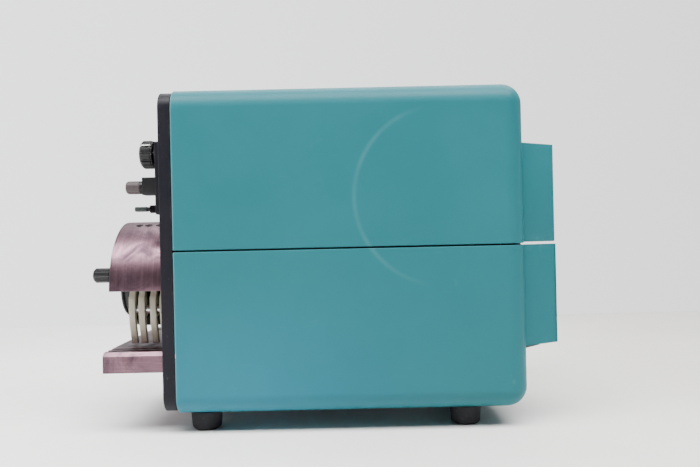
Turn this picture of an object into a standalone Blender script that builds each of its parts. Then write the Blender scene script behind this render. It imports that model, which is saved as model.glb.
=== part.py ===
"""Four-channel benchtop peristaltic pump, modelled as an assembly of separate solids.

Frame: +X is the operator's right, -Y is the front with the pump head, +Z is up.  The origin is
on the bench, under the middle of the object.  Every size below is in millimetres, and heights
are measured from the case datum, which stands FOOT_DROP above the bench.
"""

import math

import bmesh
import bpy
from mathutils import Matrix, Vector

MM = 0.001
GAP = 0.3                       # between pieces that touch on the real object

# Case: two tubs that meet at a level seam
CASE_HALF_WIDTH = 72.0
CASE_BOTTOM = 10.3
CASE_TOP = 232.6
CASE_FRONT = -100.2
CASE_REAR = 140.3
CASE_WALL = 3.0
CASE_EDGE = 14.0                # radius of every outer edge except the front rim
SEAM = 122.0
SEAM_HALF_GAP = 0.6
SEAM_LIP_STOP = 18.0            # the lip ends this far in front of the rear wall

# Guard wings behind the case
WING_ROOT_X = 60.0
WING_TIP_X = 52.0
WING_WALL = 3.0
WING_REAR = 163.5
WING_ROOT_HALF = 70.2
WING_TIP_HALF = 69.0
WING_HALF_GAP = 1.2

# Vent slots in the upper half of the rear wall
VENT_COUNT = 6
VENT_HALF_WIDTH = 30.0
VENT_BOTTOM = 146.0
VENT_PITCH = 7.0
VENT_HEIGHT = 2.6

# Rear connector box, which stands out between the lower wings
BOX_HALF_WIDTH = 44.0
BOX_BOTTOM = 45.0
BOX_TOP = 113.0
BOX_REAR = 154.0
BOX_DRAFT = 4.0
BOX_WALL = 2.0
INLET_Z = 66.5
FUSE_X = -22.0
FUSE_Z = 93.0
SOCKET_Z = 93.0

# Front panel and the raised strip that carries the controls
PANEL_FRONT = -109.0
PANEL_BACK = CASE_FRONT - GAP
PANEL_HALF_WIDTH = 71.2
PANEL_BOTTOM = 12.0
PANEL_TOP = 231.1
PANEL_CORNER = 12.0
STRIP_FRONT = -114.5
STRIP_LEFT = 38.0
STRIP_RIGHT = 60.0
STRIP_BOTTOM = 147.8
STRIP_TOP = 198.2
CONTROL_X = 48.0
KNOB_Z = 190.3
KNOB_RADIUS = 10.0
KNOB_FLUTES = 12
SHAFT_FIT = 3.0
NUT_RADIUS = 6.9
NUT_BORE = 4.8
KNOB_FRONT = -126.4
KNOB_BACK = -117.3
BUTTON_Z = 167.3
TOGGLE_Z = 151.9
HOUSING_Z = 167.9
HOUSING_HALF = 6.2

# Feet
FOOT_X = 50.0
FOOT_FRONT_Y = -83.7
FOOT_REAR_Y = 98.4
FOOT_DROP = 2.9                 # the feet reach this far below the case datum
FOOT_TOP_RADIUS = 11.0
FOOT_BOTTOM_RADIUS = 9.9
FOOT_SCREW_RADIUS = 2.3

# Pump head: everything turns about an axis along Y at X 0
HEAD_Z = 93.8
COVER_OUTER = 50.1
COVER_INNER = 38.5
COVER_FRONT = -151.4
COVER_BACK = PANEL_FRONT - GAP
HINGE_X = -43.8
HINGE_Z = 98.0
PIN_RADIUS = 2.5
THUMB_X = 42.5
THUMB_Z = 105.4
THUMB_FRONT = -163.8
THUMB_RADIUS = 5.3
THUMB_SHANK = 2.5
ADJUSTER_ANGLE = 70.0
ADJUSTER_RADIUS = 2.5

# Rotor
ROLLER_COUNT = 8
ROLLER_CIRCLE = 25.0
ROLLER_RADIUS = 5.5
ROLLER_FRONT = -142.6
ROLLER_BACK = -113.7
AXLE_RADIUS = 1.5
AXLE_LENGTH = 1.9
FLANGE_RADIUS = 29.0
FRONT_FLANGE = 2.6
SHAFT_RADIUS = 6.0

# Occlusion cams, which press the tubes onto the rollers
CAM_Y = (-138.4, -131.4, -123.2, -116.2)
CAM_WIDTH = 4.4
CAM_INNER = 32.3
CAM_OUTER = 36.5
CAM_REACH = 150.0               # degrees round the rotor from the right
CAM_BOSS_RADIUS = 5.3
CAM_PIVOT_X = 34.8
CAM_PIVOT_Z = 80.0
ROD_RADIUS = 3.45
ROD_FRONT = -141.2

# Tube plate
TUBE_PLATE_HALF = 68.0
TUBE_PLATE_FRONT = -150.5
TUBE_PLATE_BOTTOM = 39.8
TUBE_PLATE_TOP = 53.7
TUBE_PLATE_CHAMFER = 2.4
CLIP_GROOVE = 1.2
CLIP_GROOVE_X = (59.0, 51.0)

# Gear train
GEAR_MODULE = 1.5
GEAR_TEETH = 40
PINION_TEETH = 16
GEAR_FRONT = -80.0
GEAR_BACK = -72.0
MOTOR_Z = HEAD_Z + GEAR_MODULE * (GEAR_TEETH + PINION_TEETH) / 2

for leftover in list(bpy.data.objects):
    bpy.data.objects.remove(leftover)
PARTS = bpy.data.collections.new("peristaltic_pump")
CUTTERS = bpy.data.collections.new("cutters")
bpy.context.scene.collection.children.link(PARTS)
bpy.context.scene.collection.children.link(CUTTERS)


# ---------------------------------------------------------------- materials

def material(name, color, roughness, metallic=0.0):
    """A Principled material with one colour and finish."""
    made = bpy.data.materials.new(name)
    made.use_nodes = True
    shader = made.node_tree.nodes["Principled BSDF"]
    shader.inputs["Base Color"].default_value = (*color, 1.0)
    shader.inputs["Roughness"].default_value = roughness
    shader.inputs["Metallic"].default_value = metallic
    made.diffuse_color = (*color, 1.0)
    return made


TEAL = material("teal_enamel", (0.069, 0.32, 0.35), 0.45)
BLACK = material("black_panel", (0.024, 0.024, 0.034), 0.5)
DARK_GREY = material("dark_grey_sheet", (0.06, 0.065, 0.07), 0.55, 0.4)
MAUVE = material("mauve_anodised", (0.26, 0.14, 0.19), 0.35, 0.9)
IVORY = material("ivory_plastic", (0.62, 0.58, 0.45), 0.5)
RUBBER = material("black_rubber", (0.018, 0.018, 0.02), 0.8)
STEEL = material("steel", (0.55, 0.56, 0.57), 0.3, 1.0)
ZINC = material("zinc_plate", (0.42, 0.43, 0.42), 0.45, 1.0)
BLACK_PLASTIC = material("black_plastic", (0.02, 0.02, 0.022), 0.4)
GREY_CAP = material("grey_cap", (0.13, 0.11, 0.12), 0.5)
BRASS = material("brass", (0.6, 0.42, 0.16), 0.35, 1.0)
BOARD = material("circuit_board", (0.03, 0.16, 0.07), 0.5)
COPPER = material("winding_tape", (0.55, 0.4, 0.12), 0.5)


# ---------------------------------------------------------------- modelling helpers

def place(name, mesh, surface, smooth=True):
    """Links a mesh as a named part; a part with no material is a cutter or a guide."""
    if smooth:
        mesh.shade_smooth()
        mesh.set_sharp_from_angle(angle=math.radians(35))
    made = bpy.data.objects.new(name, mesh)
    if surface is None:
        CUTTERS.objects.link(made)
        made.hide_render = True
        made.display_type = "WIRE"
    else:
        PARTS.objects.link(made)
        mesh.materials.clear()
        mesh.materials.append(surface)
    return made


def mesh_of(bm, name):
    """The finished mesh of a bmesh, scaled from millimetres to metres."""
    bmesh.ops.scale(bm, vec=(MM, MM, MM), verts=bm.verts)
    bmesh.ops.recalc_face_normals(bm, faces=bm.faces)
    mesh = bpy.data.meshes.new(name)
    bm.to_mesh(mesh)
    bm.free()
    return mesh


def block(name, low, high, surface=None, edge=0.0, along=None, segments=4):
    """A box from corner to corner, its edges that run along one axis rounded if asked."""
    bm = bmesh.new()
    bmesh.ops.create_cube(bm, size=1.0)
    low, high = Vector(low), Vector(high)
    for vert in bm.verts:
        vert.co = Vector(high[i] if vert.co[i] > 0 else low[i] for i in range(3))
    if edge:
        axis = "XYZ".index(along)
        chosen = [e for e in bm.edges if abs(e.verts[0].co[axis] - e.verts[1].co[axis]) > 1e-6]
        bmesh.ops.bevel(bm, geom=chosen, offset=edge, segments=segments, profile=0.5, affect="EDGES")
    return place(name, mesh_of(bm, name), surface)


def rod(name, radius, start, end, surface=None, sides=24, end_radius=None):
    """A cylinder, or a cone, between two points."""
    start, end = Vector(start), Vector(end)
    bm = bmesh.new()
    bmesh.ops.create_cone(bm, cap_ends=True, segments=sides, radius1=radius,
                          radius2=radius if end_radius is None else end_radius,
                          depth=(end - start).length)
    turn = (end - start).to_track_quat("Z", "Y").to_matrix().to_4x4()
    bmesh.ops.transform(bm, matrix=Matrix.Translation((start + end) / 2) @ turn, verts=bm.verts)
    return place(name, mesh_of(bm, name), surface)


def pin(name, radius, axis, near, far, surface=None, sides=24, end_radius=None):
    """A cylinder, or a cone, along Y; axis is its X and its Z."""
    return rod(name, radius, (axis[0], near, axis[1]), (axis[0], far, axis[1]), surface, sides, end_radius)


def turned(name, profile, surface, centre, steps=24, facing="front"):
    """A turned solid: (radius, height) points, top first, swept about an axis through centre.

    Height runs along -Y, along +Y or up, as facing says.  A profile that doesn't start on the
    axis is closed into a ring.
    """
    bm = bmesh.new()
    verts = [bm.verts.new((radius, 0.0, height)) for radius, height in profile]
    for first, second in zip(verts, verts[1:]):
        bm.edges.new((first, second))
    if profile[0][0] > 0:
        bm.edges.new((verts[-1], verts[0]))
    bmesh.ops.scale(bm, vec=(MM, MM, MM), verts=bm.verts)
    mesh = bpy.data.meshes.new(name)
    bm.to_mesh(mesh)
    bm.free()
    made = place(name, mesh, surface, smooth=False)
    sweep = made.modifiers.new("turn", "SCREW")
    sweep.axis = "Z"
    sweep.steps = sweep.render_steps = steps
    sweep.use_merge_vertices = True
    sweep.merge_threshold = 0.00005
    sweep.use_smooth_shade = False
    made.location = Vector(centre) * MM
    made.rotation_euler = (math.radians({"front": 90, "rear": -90, "up": 0}[facing]), 0, 0)
    return made


def outlined(name, outlines, front, back, surface):
    """A flat piece between two Y planes; each outline is a list of (x, z), the first the rim."""
    curve = bpy.data.curves.new(name, "CURVE")
    curve.dimensions = "2D"
    curve.fill_mode = "BOTH"
    curve.extrude = abs(back - front) / 2 * MM
    for outline in outlines:
        spline = curve.splines.new("POLY")
        spline.points.add(len(outline) - 1)
        for spot, (x, z) in zip(spline.points, outline):
            spot.co = (x * MM, z * MM, 0.0, 1.0)
        spline.use_cyclic_u = True
    flat = bpy.data.objects.new(name + "_outline", curve)
    CUTTERS.objects.link(flat)
    flat.rotation_euler = (math.radians(90), 0, 0)
    flat.location = (0, (front + back) / 2 * MM, 0)
    bpy.context.view_layer.update()
    evaluated = flat.evaluated_get(bpy.context.evaluated_depsgraph_get())
    mesh = bpy.data.meshes.new_from_object(evaluated)
    mesh.transform(flat.matrix_world)
    bm = bmesh.new()
    bm.from_mesh(mesh)
    bmesh.ops.remove_doubles(bm, verts=bm.verts, dist=0.00001)
    bmesh.ops.recalc_face_normals(bm, faces=bm.faces)
    bm.to_mesh(mesh)
    bm.free()
    bpy.data.objects.remove(flat)
    return place(name, mesh, surface)


def combine(part, other, operation):
    """A Boolean modifier on part; other becomes a hidden guide."""
    step = part.modifiers.new(operation.lower(), "BOOLEAN")
    step.operation = operation
    step.object = other
    step.solver = "EXACT"
    return part


def cut(part, *cutters):
    for cutter in cutters:
        combine(part, cutter, "DIFFERENCE")
    return part


def join(part, *additions):
    for addition in additions:
        combine(part, addition, "UNION")
    return part


def put_origin(part, point):
    """Moves a part's origin to a point, such as one on its joint's axis, and keeps its shape."""
    shift = Vector(point) * MM - part.location
    turn = part.rotation_euler.to_matrix().to_4x4()
    part.data.transform(turn.inverted() @ Matrix.Translation(-shift) @ turn)
    part.location = Vector(point) * MM
    return part


def arc(centre, radius, start, end, steps):
    """Points along an arc from one angle to another, in degrees."""
    turns = [math.radians(start + (end - start) * i / steps) for i in range(steps + 1)]
    return [(centre[0] + radius * math.cos(t), centre[1] + radius * math.sin(t)) for t in turns]


def circle(centre, radius, steps=20):
    return arc(centre, radius, 0, 360 * (steps - 1) / steps, steps - 1)


def fluted_rim(centre, outer, depth, flutes):
    """Outline of a knob whose rim has round flutes, four points to each."""
    steps = flutes * 4
    turns = [2 * math.pi * i / steps for i in range(steps)]
    radii = [outer - depth * max(0.0, math.cos(flutes * turn)) for turn in turns]
    return [(centre[0] + r * math.cos(t), centre[1] + r * math.sin(t)) for r, t in zip(radii, turns)]


# ---------------------------------------------------------------- case

def tub(name, inset, surface=None):
    """The rounded outline of the whole case, shrunk by inset, with a square front."""
    half = CASE_HALF_WIDTH - inset
    front = CASE_FRONT - (20.0 if inset else 0.0)
    low = Vector((-half, front, CASE_BOTTOM + inset))
    high = Vector((half, CASE_REAR - inset, CASE_TOP - inset))
    bm = bmesh.new()
    bmesh.ops.create_cube(bm, size=1.0)
    for vert in bm.verts:
        vert.co = Vector(high[i] if vert.co[i] > 0 else low[i] for i in range(3))
    rounded = [e for e in bm.edges if max(v.co.y for v in e.verts) > 0]
    bmesh.ops.bevel(bm, geom=rounded, offset=CASE_EDGE - inset, segments=5, profile=0.5, affect="EDGES")
    return place(name, mesh_of(bm, name), surface)


def wing(name, side, top):
    """One guard wing: a plate that leans inwards as it runs back from the rear wall."""
    sign = 1 if top else -1
    bm = bmesh.new()
    bmesh.ops.create_cube(bm, size=1.0)
    for vert in bm.verts:
        at_rear = vert.co.y > 0
        outside = vert.co.x > 0
        far = vert.co.z > 0
        x = (WING_TIP_X if at_rear else WING_ROOT_X) - (0 if outside else WING_WALL)
        half = WING_TIP_HALF if at_rear else WING_ROOT_HALF
        y = WING_REAR if at_rear else CASE_REAR - CASE_WALL / 2
        vert.co = (side * x, y, SEAM + sign * (half if far else WING_HALF_GAP))
    return place(name, mesh_of(bm, name), None)


def case():
    """The lower and the upper tub, with the wings, the foot bosses and the seam lip."""
    reach = 400.0
    rear_opening = block("rear_opening_cutter", (-BOX_HALF_WIDTH - 1, CASE_REAR - 8, BOX_BOTTOM - 1),
                         (BOX_HALF_WIDTH + 1, CASE_REAR + 5, BOX_TOP + 1))
    above = block("above_seam_cutter", (-reach, -reach, SEAM - SEAM_HALF_GAP), (reach, reach, reach))
    below = block("below_seam_cutter", (-reach, -reach, -reach), (reach, reach, SEAM + SEAM_HALF_GAP))
    hollow = tub("case_hollow_cutter", CASE_WALL)
    for name, top, other_half in (("lower_shell", False, above), ("upper_shell", True, below)):
        shell = cut(tub(name, 0.0, TEAL), hollow, other_half)
        for side in (-1, 1):
            join(shell, wing(f"{name}_wing_guide_{side + 1}", side, top))
        if top:
            cut(shell, *vent_cutters())
            continue
        cut(shell, rear_opening)
        join(shell, seam_lip())
        for x, y in foot_places():
            join(shell, rod("foot_boss_guide", 6.0, (x, y, CASE_BOTTOM + 1), (x, y, 19.7), sides=16))
            cut(shell, rod("foot_hole_cutter", FOOT_SCREW_RADIUS, (x, y, 0), (x, y, 30), sides=12))


def vent_cutters():
    """Level slots through the upper half of the rear wall."""
    return [block("vent_cutter", (-VENT_HALF_WIDTH, CASE_REAR - 8, VENT_BOTTOM + i * VENT_PITCH),
                  (VENT_HALF_WIDTH, CASE_REAR + 5, VENT_BOTTOM + i * VENT_PITCH + VENT_HEIGHT))
            for i in range(VENT_COUNT)]


def seam_lip():
    """A step inside the lower tub's side rims that locates the upper tub and shuts out light."""
    wall_face = CASE_HALF_WIDTH - CASE_WALL
    rear_face = CASE_REAR - CASE_WALL
    corner = CASE_EDGE - CASE_WALL
    step_down = SEAM - 3.5
    start = CASE_FRONT - 20
    ledge = block("seam_ledge_guide", (-wall_face - 0.5, start, step_down),
                  (wall_face + 0.5, rear_face + 0.5, SEAM - 1.2), edge=corner, along="Z")
    lip = block("seam_lip_guide", (-wall_face + GAP, start - 1, step_down + 0.5),
                (wall_face - GAP, rear_face - GAP, SEAM + 2.5), edge=corner, along="Z")
    inside = block("seam_inside_cutter", (-wall_face + 1.8, start - 20, step_down - 5),
                   (wall_face - 1.8, rear_face - 1.8, SEAM + 8), edge=corner - 1.5, along="Z")
    front = block("seam_front_cutter", (-90, start - 5, step_down - 5), (90, CASE_FRONT + 1, SEAM + 8))
    rear = block("seam_rear_cutter", (-90, CASE_REAR - SEAM_LIP_STOP, step_down - 5),
                 (90, CASE_REAR + 5, SEAM + 8))
    join(ledge, lip)
    return cut(ledge, inside, front, rear)


def foot_places():
    return [(x, y) for y in (FOOT_FRONT_Y, FOOT_REAR_Y) for x in (-FOOT_X, FOOT_X)]


def feet():
    """Four tapered rubber feet with a screw recess underneath."""
    names = ("foot_front_left", "foot_front_right", "foot_rear_left", "foot_rear_right")
    top, ground, recess = CASE_BOTTOM - GAP, -FOOT_DROP, 4.2
    profile = [(0, top), (FOOT_TOP_RADIUS, top), (FOOT_BOTTOM_RADIUS + 0.25, ground + 2.2),
               (FOOT_BOTTOM_RADIUS - 0.6, ground + 0.6), (FOOT_BOTTOM_RADIUS - 2.1, ground),
               (recess, ground), (recess, ground + 4.0), (0, ground + 4.0)]
    for name, (x, y) in zip(names, foot_places()):
        turned(name, profile, RUBBER, (x, y, 0), steps=20, facing="up")


def chassis():
    """Bent sheet tray that carries the drive, the transformer and the front panel."""
    tray = block("chassis_tray", (-62, -97.5, 20), (62, 130, 22), ZINC)
    join(tray, block("chassis_front_guide", (-62, -97.5, 20), (62, -95.5, 60)),
         block("chassis_rear_guide", (-62, 128, 20), (62, 130, 37)))
    for x, y in foot_places():
        cut(tray, rod("chassis_hole_cutter", FOOT_SCREW_RADIUS, (x, y, 10), (x, y, 30), sides=12))


# ---------------------------------------------------------------- rear connector box

def drafted_box(name, grow, rear, surface=None):
    """A box whose four sides lean in towards the rear."""
    bm = bmesh.new()
    bmesh.ops.create_cube(bm, size=1.0)
    for vert in bm.verts:
        inward = (2.0, BOX_DRAFT) if vert.co.y > 0 else (0.0, 0.0)
        x = (BOX_HALF_WIDTH + grow - inward[0]) * (1 if vert.co.x > 0 else -1)
        z = BOX_TOP + grow - inward[1] if vert.co.z > 0 else BOX_BOTTOM - grow + inward[1]
        vert.co = (x, rear if vert.co.y > 0 else CASE_REAR - 6.0, z)
    return place(name, mesh_of(bm, name), surface)


def rear_box():
    """The dark pan between the wings and the three connectors on its rear face."""
    pan = drafted_box("rear_connector_box", 0.0, BOX_REAR, DARK_GREY)
    flange = block("rear_flange_guide", (-50, CASE_REAR - 5.5, 39),
                   (50, CASE_REAR - CASE_WALL - GAP, 117.5))
    join(pan, flange)
    cut(pan, drafted_box("rear_pan_cutter", -BOX_WALL, BOX_REAR - BOX_WALL))
    cut(pan, block("inlet_cutter", (-14.3, 142, INLET_Z - 10.3), (14.3, 170, INLET_Z + 10.3)))
    cut(pan, rod("fuse_cutter", 6.3, (FUSE_X, 142, FUSE_Z), (FUSE_X, 170, FUSE_Z)))
    cut(pan, block("socket_cutter", (-1, 142, SOCKET_Z - 4.8), (25, 170, SOCKET_Z + 4.8)))
    power_inlet()
    fuse_holder()
    remote_socket()


def power_inlet():
    """Appliance inlet: a flange with a deep recess and three blades."""
    face = BOX_REAR + GAP
    inlet = block("power_inlet", (-25, face, INLET_Z - 11.5), (25, face + 2.6, INLET_Z + 11.5),
                  BLACK_PLASTIC, edge=4.0, along="Y", segments=3)
    join(inlet, block("inlet_body_guide", (-13.8, 134, INLET_Z - 9.8), (13.8, face + 1, INLET_Z + 9.8)))
    cut(inlet, block("inlet_recess_cutter", (-12, face + 2.6 - 16, INLET_Z - 8), (12, 175, INLET_Z + 8)))
    for x, z in ((-7, INLET_Z - 1.5), (0, INLET_Z + 1.8), (7, INLET_Z - 1.5)):
        join(inlet, block("inlet_blade_guide", (x - 1, face - 15, z - 2.5), (x + 1, face - 2.6, z + 2.5)))


def fuse_holder():
    """Round panel fuse holder with a bayonet cap."""
    face = BOX_REAR + GAP
    centre = (FUSE_X, 0, FUSE_Z)
    sleeve = [(7.4, face + 2.5), (8.0, face + 1.6), (8.0, face), (6.0, face), (6.0, 130), (5.2, 130),
              (5.2, face + 2.5)]
    cap = [(0, 162.4), (5.4, 162.4), (6.2, 161.4), (6.4, face + 2.8), (4.8, face + 2.8), (4.8, 138), (0, 138)]
    turned("fuse_holder", sleeve, BLACK_PLASTIC, centre, facing="rear")
    turned("fuse_cap", cap, BLACK_PLASTIC, centre, steps=20, facing="rear")


def remote_socket():
    """Flat multi-way socket for a remote control lead."""
    face = BOX_REAR + GAP
    socket = block("remote_socket", (-7.5, face, SOCKET_Z - 6.2), (31.5, face + 1.2, SOCKET_Z + 6.2), ZINC,
                   edge=1.5, along="Y")
    join(socket, block("socket_nose_guide", (0, 143, SOCKET_Z - 4), (24, face + 6.5, SOCKET_Z + 4),
                       edge=2.0, along="Y"))
    cut(socket, block("socket_mouth_cutter", (1, face + 1.5, SOCKET_Z - 3), (23, 170, SOCKET_Z + 3),
                      edge=1.5, along="Y"))


# ---------------------------------------------------------------- front panel and controls

def front_panel():
    """The thick black panel, the control strip and the holes through both."""
    panel = block("front_panel", (-PANEL_HALF_WIDTH, PANEL_FRONT, PANEL_BOTTOM),
                  (PANEL_HALF_WIDTH, PANEL_BACK, PANEL_TOP), BLACK,
                  edge=PANEL_CORNER, along="Y", segments=6)
    strip = block("control_plate", (STRIP_LEFT, STRIP_FRONT, STRIP_BOTTOM),
                  (STRIP_RIGHT, PANEL_FRONT - GAP, STRIP_TOP), BLACK)
    for name, radius, z in (("knob_hole", NUT_BORE, KNOB_Z), ("button_hole", 5.8, BUTTON_Z),
                            ("toggle_hole", 3.2, TOGGLE_Z)):
        hole = pin(name + "_cutter", radius, (CONTROL_X, z), -130, -90, sides=20)
        cut(panel, hole)
        cut(strip, hole)
    cut(panel, pin("housing_hole_cutter", 15.3, (0, HEAD_Z), -130, -90, sides=32),
        pin("rod_hole_cutter", ROD_RADIUS + GAP, (CAM_PIVOT_X, CAM_PIVOT_Z), -130, -90),
        pin("pin_hole_cutter", PIN_RADIUS + GAP, (HINGE_X, HINGE_Z), -130, -90, sides=16))


def speed_control():
    """Potentiometer behind the panel with its nut and shaft, and the fluted knob."""
    axis = (CONTROL_X, KNOB_Z)
    back = -CASE_FRONT
    bushing = 116.8
    profile = [(4.5, bushing), (4.5, back), (11.0, back), (11.0, back - 12), (SHAFT_FIT + GAP, back - 12),
               (SHAFT_FIT + GAP, bushing)]
    turned("speed_potentiometer", profile, ZINC, (CONTROL_X, 0, KNOB_Z))
    shaft = pin("potentiometer_shaft", SHAFT_FIT, axis, KNOB_FRONT + 4.5, -90, STEEL, sides=16)
    put_origin(shaft, (CONTROL_X, -115, KNOB_Z))
    outlined("potentiometer_nut", [circle(axis, NUT_RADIUS, 6), circle(axis, NUT_BORE)],
             KNOB_BACK + GAP, STRIP_FRONT - GAP, ZINC)
    rim = fluted_rim(axis, KNOB_RADIUS, 0.9, KNOB_FLUTES)
    knob = outlined("speed_knob", [rim], KNOB_FRONT + 1.6, KNOB_BACK, BLACK_PLASTIC)
    join(knob, pin("knob_face_guide", KNOB_RADIUS - 1, axis, KNOB_FRONT + 2.4, KNOB_FRONT,
                   end_radius=KNOB_RADIUS - 2))
    cut(knob, pin("knob_bore_cutter", SHAFT_FIT + GAP, axis, KNOB_FRONT + 4.2, -110, sides=16))
    put_origin(knob, (CONTROL_X, KNOB_BACK, KNOB_Z))


def push_switch():
    """Square button housing on a round sleeve, and the sprung round button."""
    housing = block("button_housing", (CONTROL_X - HOUSING_HALF, -125.2, HOUSING_Z - HOUSING_HALF),
                    (CONTROL_X + HOUSING_HALF, STRIP_FRONT - GAP, HOUSING_Z + HOUSING_HALF), BLACK_PLASTIC,
                    edge=0.8, along="Y", segments=2)
    join(housing, pin("housing_sleeve_guide", 5.5, (CONTROL_X, BUTTON_Z), -118, -92))
    cut(housing, pin("housing_bore_cutter", 4.75, (CONTROL_X, BUTTON_Z), -130, -90))
    profile = [(0, 137.7), (3.4, 137.7), (4.35, 137.0), (4.65, 135.8), (4.65, 127.9), (4.4, 127.9),
               (4.4, 100.5), (0, 100.5)]
    turned("push_button", profile, GREY_CAP, (CONTROL_X, 0, BUTTON_Z))


def toggle_switch():
    """Miniature toggle switch with a flattened lever tip."""
    axis = (CONTROL_X, TOGGLE_Z)
    bushing = pin("toggle_body", 2.9, axis, -121.3, -99, ZINC, sides=20)
    join(bushing, block("toggle_case_guide", (CONTROL_X - 6.5, CASE_FRONT, TOGGLE_Z - 6.5),
                        (CONTROL_X + 6.5, -86, TOGGLE_Z + 6.5)))
    cut(bushing, pin("toggle_bore_cutter", 2.3, axis, -125, -115, sides=20))
    pivot = (CONTROL_X, -118.5, TOGGLE_Z)
    lever = pin("toggle_lever", 1.2, axis, -117.0, -124.9, ZINC, sides=14, end_radius=1.65)
    put_origin(lever, pivot)
    tip = block("toggle_tip", (CONTROL_X - 3.0, -131.6, TOGGLE_Z - 1.7),
                (CONTROL_X + 3.0, -125.2, TOGGLE_Z + 1.7), BLACK_PLASTIC, edge=0.9, along="Y", segments=2)
    put_origin(tip, pivot)


# ---------------------------------------------------------------- pump head

def bearing_housing():
    """Flanged sleeve through the panel with a ball bearing at each end."""
    front = -PANEL_FRONT + 2.2
    seat = -PANEL_FRONT + GAP
    profile = [(22.0, front), (22.0, seat), (15.0, seat), (15.0, 84.0), (12.3, 84.0), (12.3, front)]
    turned("bearing_housing", profile, STEEL, (0, 0, HEAD_Z), steps=32)
    for name, forward in (("front_bearing", front - 0.3), ("rear_bearing", 91.3)):
        turned(name, [(12.0, forward), (12.0, forward - 7), (SHAFT_RADIUS + GAP, forward - 7),
                      (SHAFT_RADIUS + GAP, forward)], STEEL, (0, 0, HEAD_Z))


def rotor():
    """Shaft, core, two flanges and the front cap; the rollers turn in the flanges."""
    centre = (0, 0, HEAD_Z)
    bore = SHAFT_RADIUS + GAP
    front, back = -ROLLER_FRONT, -ROLLER_BACK
    shaft = pin("rotor_shaft", SHAFT_RADIUS, (0, HEAD_Z), -145.2, -69, STEEL)
    put_origin(shaft, (0, -130, HEAD_Z))
    core = [(18.5, front), (18.5, back), (bore, back), (bore, front)]
    turned("rotor_core", core, BLACK_PLASTIC, centre, steps=28)
    holes = [circle(spot, AXLE_RADIUS + GAP, 8) for spot in roller_places()]
    outlines = [circle((0, HEAD_Z), FLANGE_RADIUS, 40), circle((0, HEAD_Z), bore, 16)] + holes
    for name, low, high in (("rotor_front_flange", front + GAP, front + GAP + FRONT_FLANGE),
                            ("rotor_rear_flange", back - GAP - AXLE_LENGTH, back - GAP)):
        flange = outlined(name, outlines, -high, -low, BLACK_PLASTIC)
        put_origin(flange, (0, -low, HEAD_Z))
    cap_back = front + GAP + FRONT_FLANGE + GAP
    cap = [(0, 152.9), (19.5, 152.9), (21.6, 152.2), (22.0, 150.8), (20.9, 149.6), (22.5, 148.4),
           (22.5, cap_back), (0, cap_back)]
    turned("rotor_front_cap", cap, BLACK_PLASTIC, centre, steps=36)


def roller_places():
    turns = [math.radians(360 * (i + 0.5) / ROLLER_COUNT) for i in range(ROLLER_COUNT)]
    return [(ROLLER_CIRCLE * math.cos(t), HEAD_Z + ROLLER_CIRCLE * math.sin(t)) for t in turns]


def rollers():
    """Each roller is turned with its two axle ends, which sit in the flanges."""
    front, back = -ROLLER_FRONT, -ROLLER_BACK
    profile = [(0, front + AXLE_LENGTH), (AXLE_RADIUS, front + AXLE_LENGTH), (AXLE_RADIUS, front),
               (ROLLER_RADIUS, front), (ROLLER_RADIUS, back), (AXLE_RADIUS, back),
               (AXLE_RADIUS, back - AXLE_LENGTH), (0, back - AXLE_LENGTH)]
    for i, (x, z) in enumerate(roller_places()):
        turned(f"roller_{i + 1}", profile, BLACK_PLASTIC, (x, 0, z), steps=16)


def pump_cover():
    """Half-ring cover with the hinge bore, the thumb screw bore and four adjuster bores."""
    cover = pin("pump_cover", COVER_OUTER, (0, HEAD_Z), COVER_FRONT, COVER_BACK, MAUVE, sides=80)
    cut(cover, pin("cover_inside_cutter", COVER_INNER, (0, HEAD_Z), -170, -90, sides=64),
        block("cover_half_cutter", (-60, -170, 30), (60, -90, HEAD_Z + GAP)),
        pin("cover_pin_cutter", PIN_RADIUS + GAP, (HINGE_X, HINGE_Z), -148, -90, sides=16),
        pin("cover_thumb_cutter", THUMB_SHANK + GAP, (THUMB_X, THUMB_Z), -170, -90, sides=16))
    for i, y in enumerate(CAM_Y):
        adjuster(cover, f"adjusting_screw_{i + 1}", y)
    put_origin(cover, (HINGE_X, COVER_BACK, HINGE_Z))
    pin("cover_hinge_pin", PIN_RADIUS, (HINGE_X, HINGE_Z), -147.6, -98.0, STEEL, sides=16)


def adjuster(cover, name, y):
    """A socket-headed grub screw that stands square to the cover, and its bore."""
    turn = math.radians(ADJUSTER_ANGLE)
    radii = (CAM_INNER, CAM_OUTER + 0.5, COVER_OUTER - 2.6, COVER_OUTER - 0.4, COVER_OUTER + 10)
    inner, start, bottom, end, outer = ((radius * math.cos(turn), y, HEAD_Z + radius * math.sin(turn))
                                        for radius in radii)
    cut(cover, rod("adjuster_bore_cutter", ADJUSTER_RADIUS + GAP, inner, outer, sides=16))
    screw = rod(name, ADJUSTER_RADIUS, start, end, STEEL, sides=16)
    cut(screw, rod("adjuster_socket_cutter", 1.3, outer, bottom, sides=6))
    put_origin(screw, start)


def thumb_screw():
    """Fluted thumb screw that holds the cover's free end; its shank ends flush with the cover."""
    axis = (THUMB_X, THUMB_Z)
    rim = fluted_rim(axis, THUMB_RADIUS, 0.35, 10)
    screw = outlined("thumb_screw", [rim], THUMB_FRONT + 1.4, COVER_FRONT - 0.5, BLACK_PLASTIC)
    join(screw, pin("thumb_nose_guide", THUMB_RADIUS - 0.4, axis, THUMB_FRONT + 1.5, THUMB_FRONT,
                    end_radius=THUMB_RADIUS - 1.6),
         pin("thumb_shank_guide", THUMB_SHANK, axis, COVER_FRONT - 1.5, COVER_BACK - 0.5, sides=16))
    put_origin(screw, (THUMB_X, COVER_FRONT, THUMB_Z))


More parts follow.
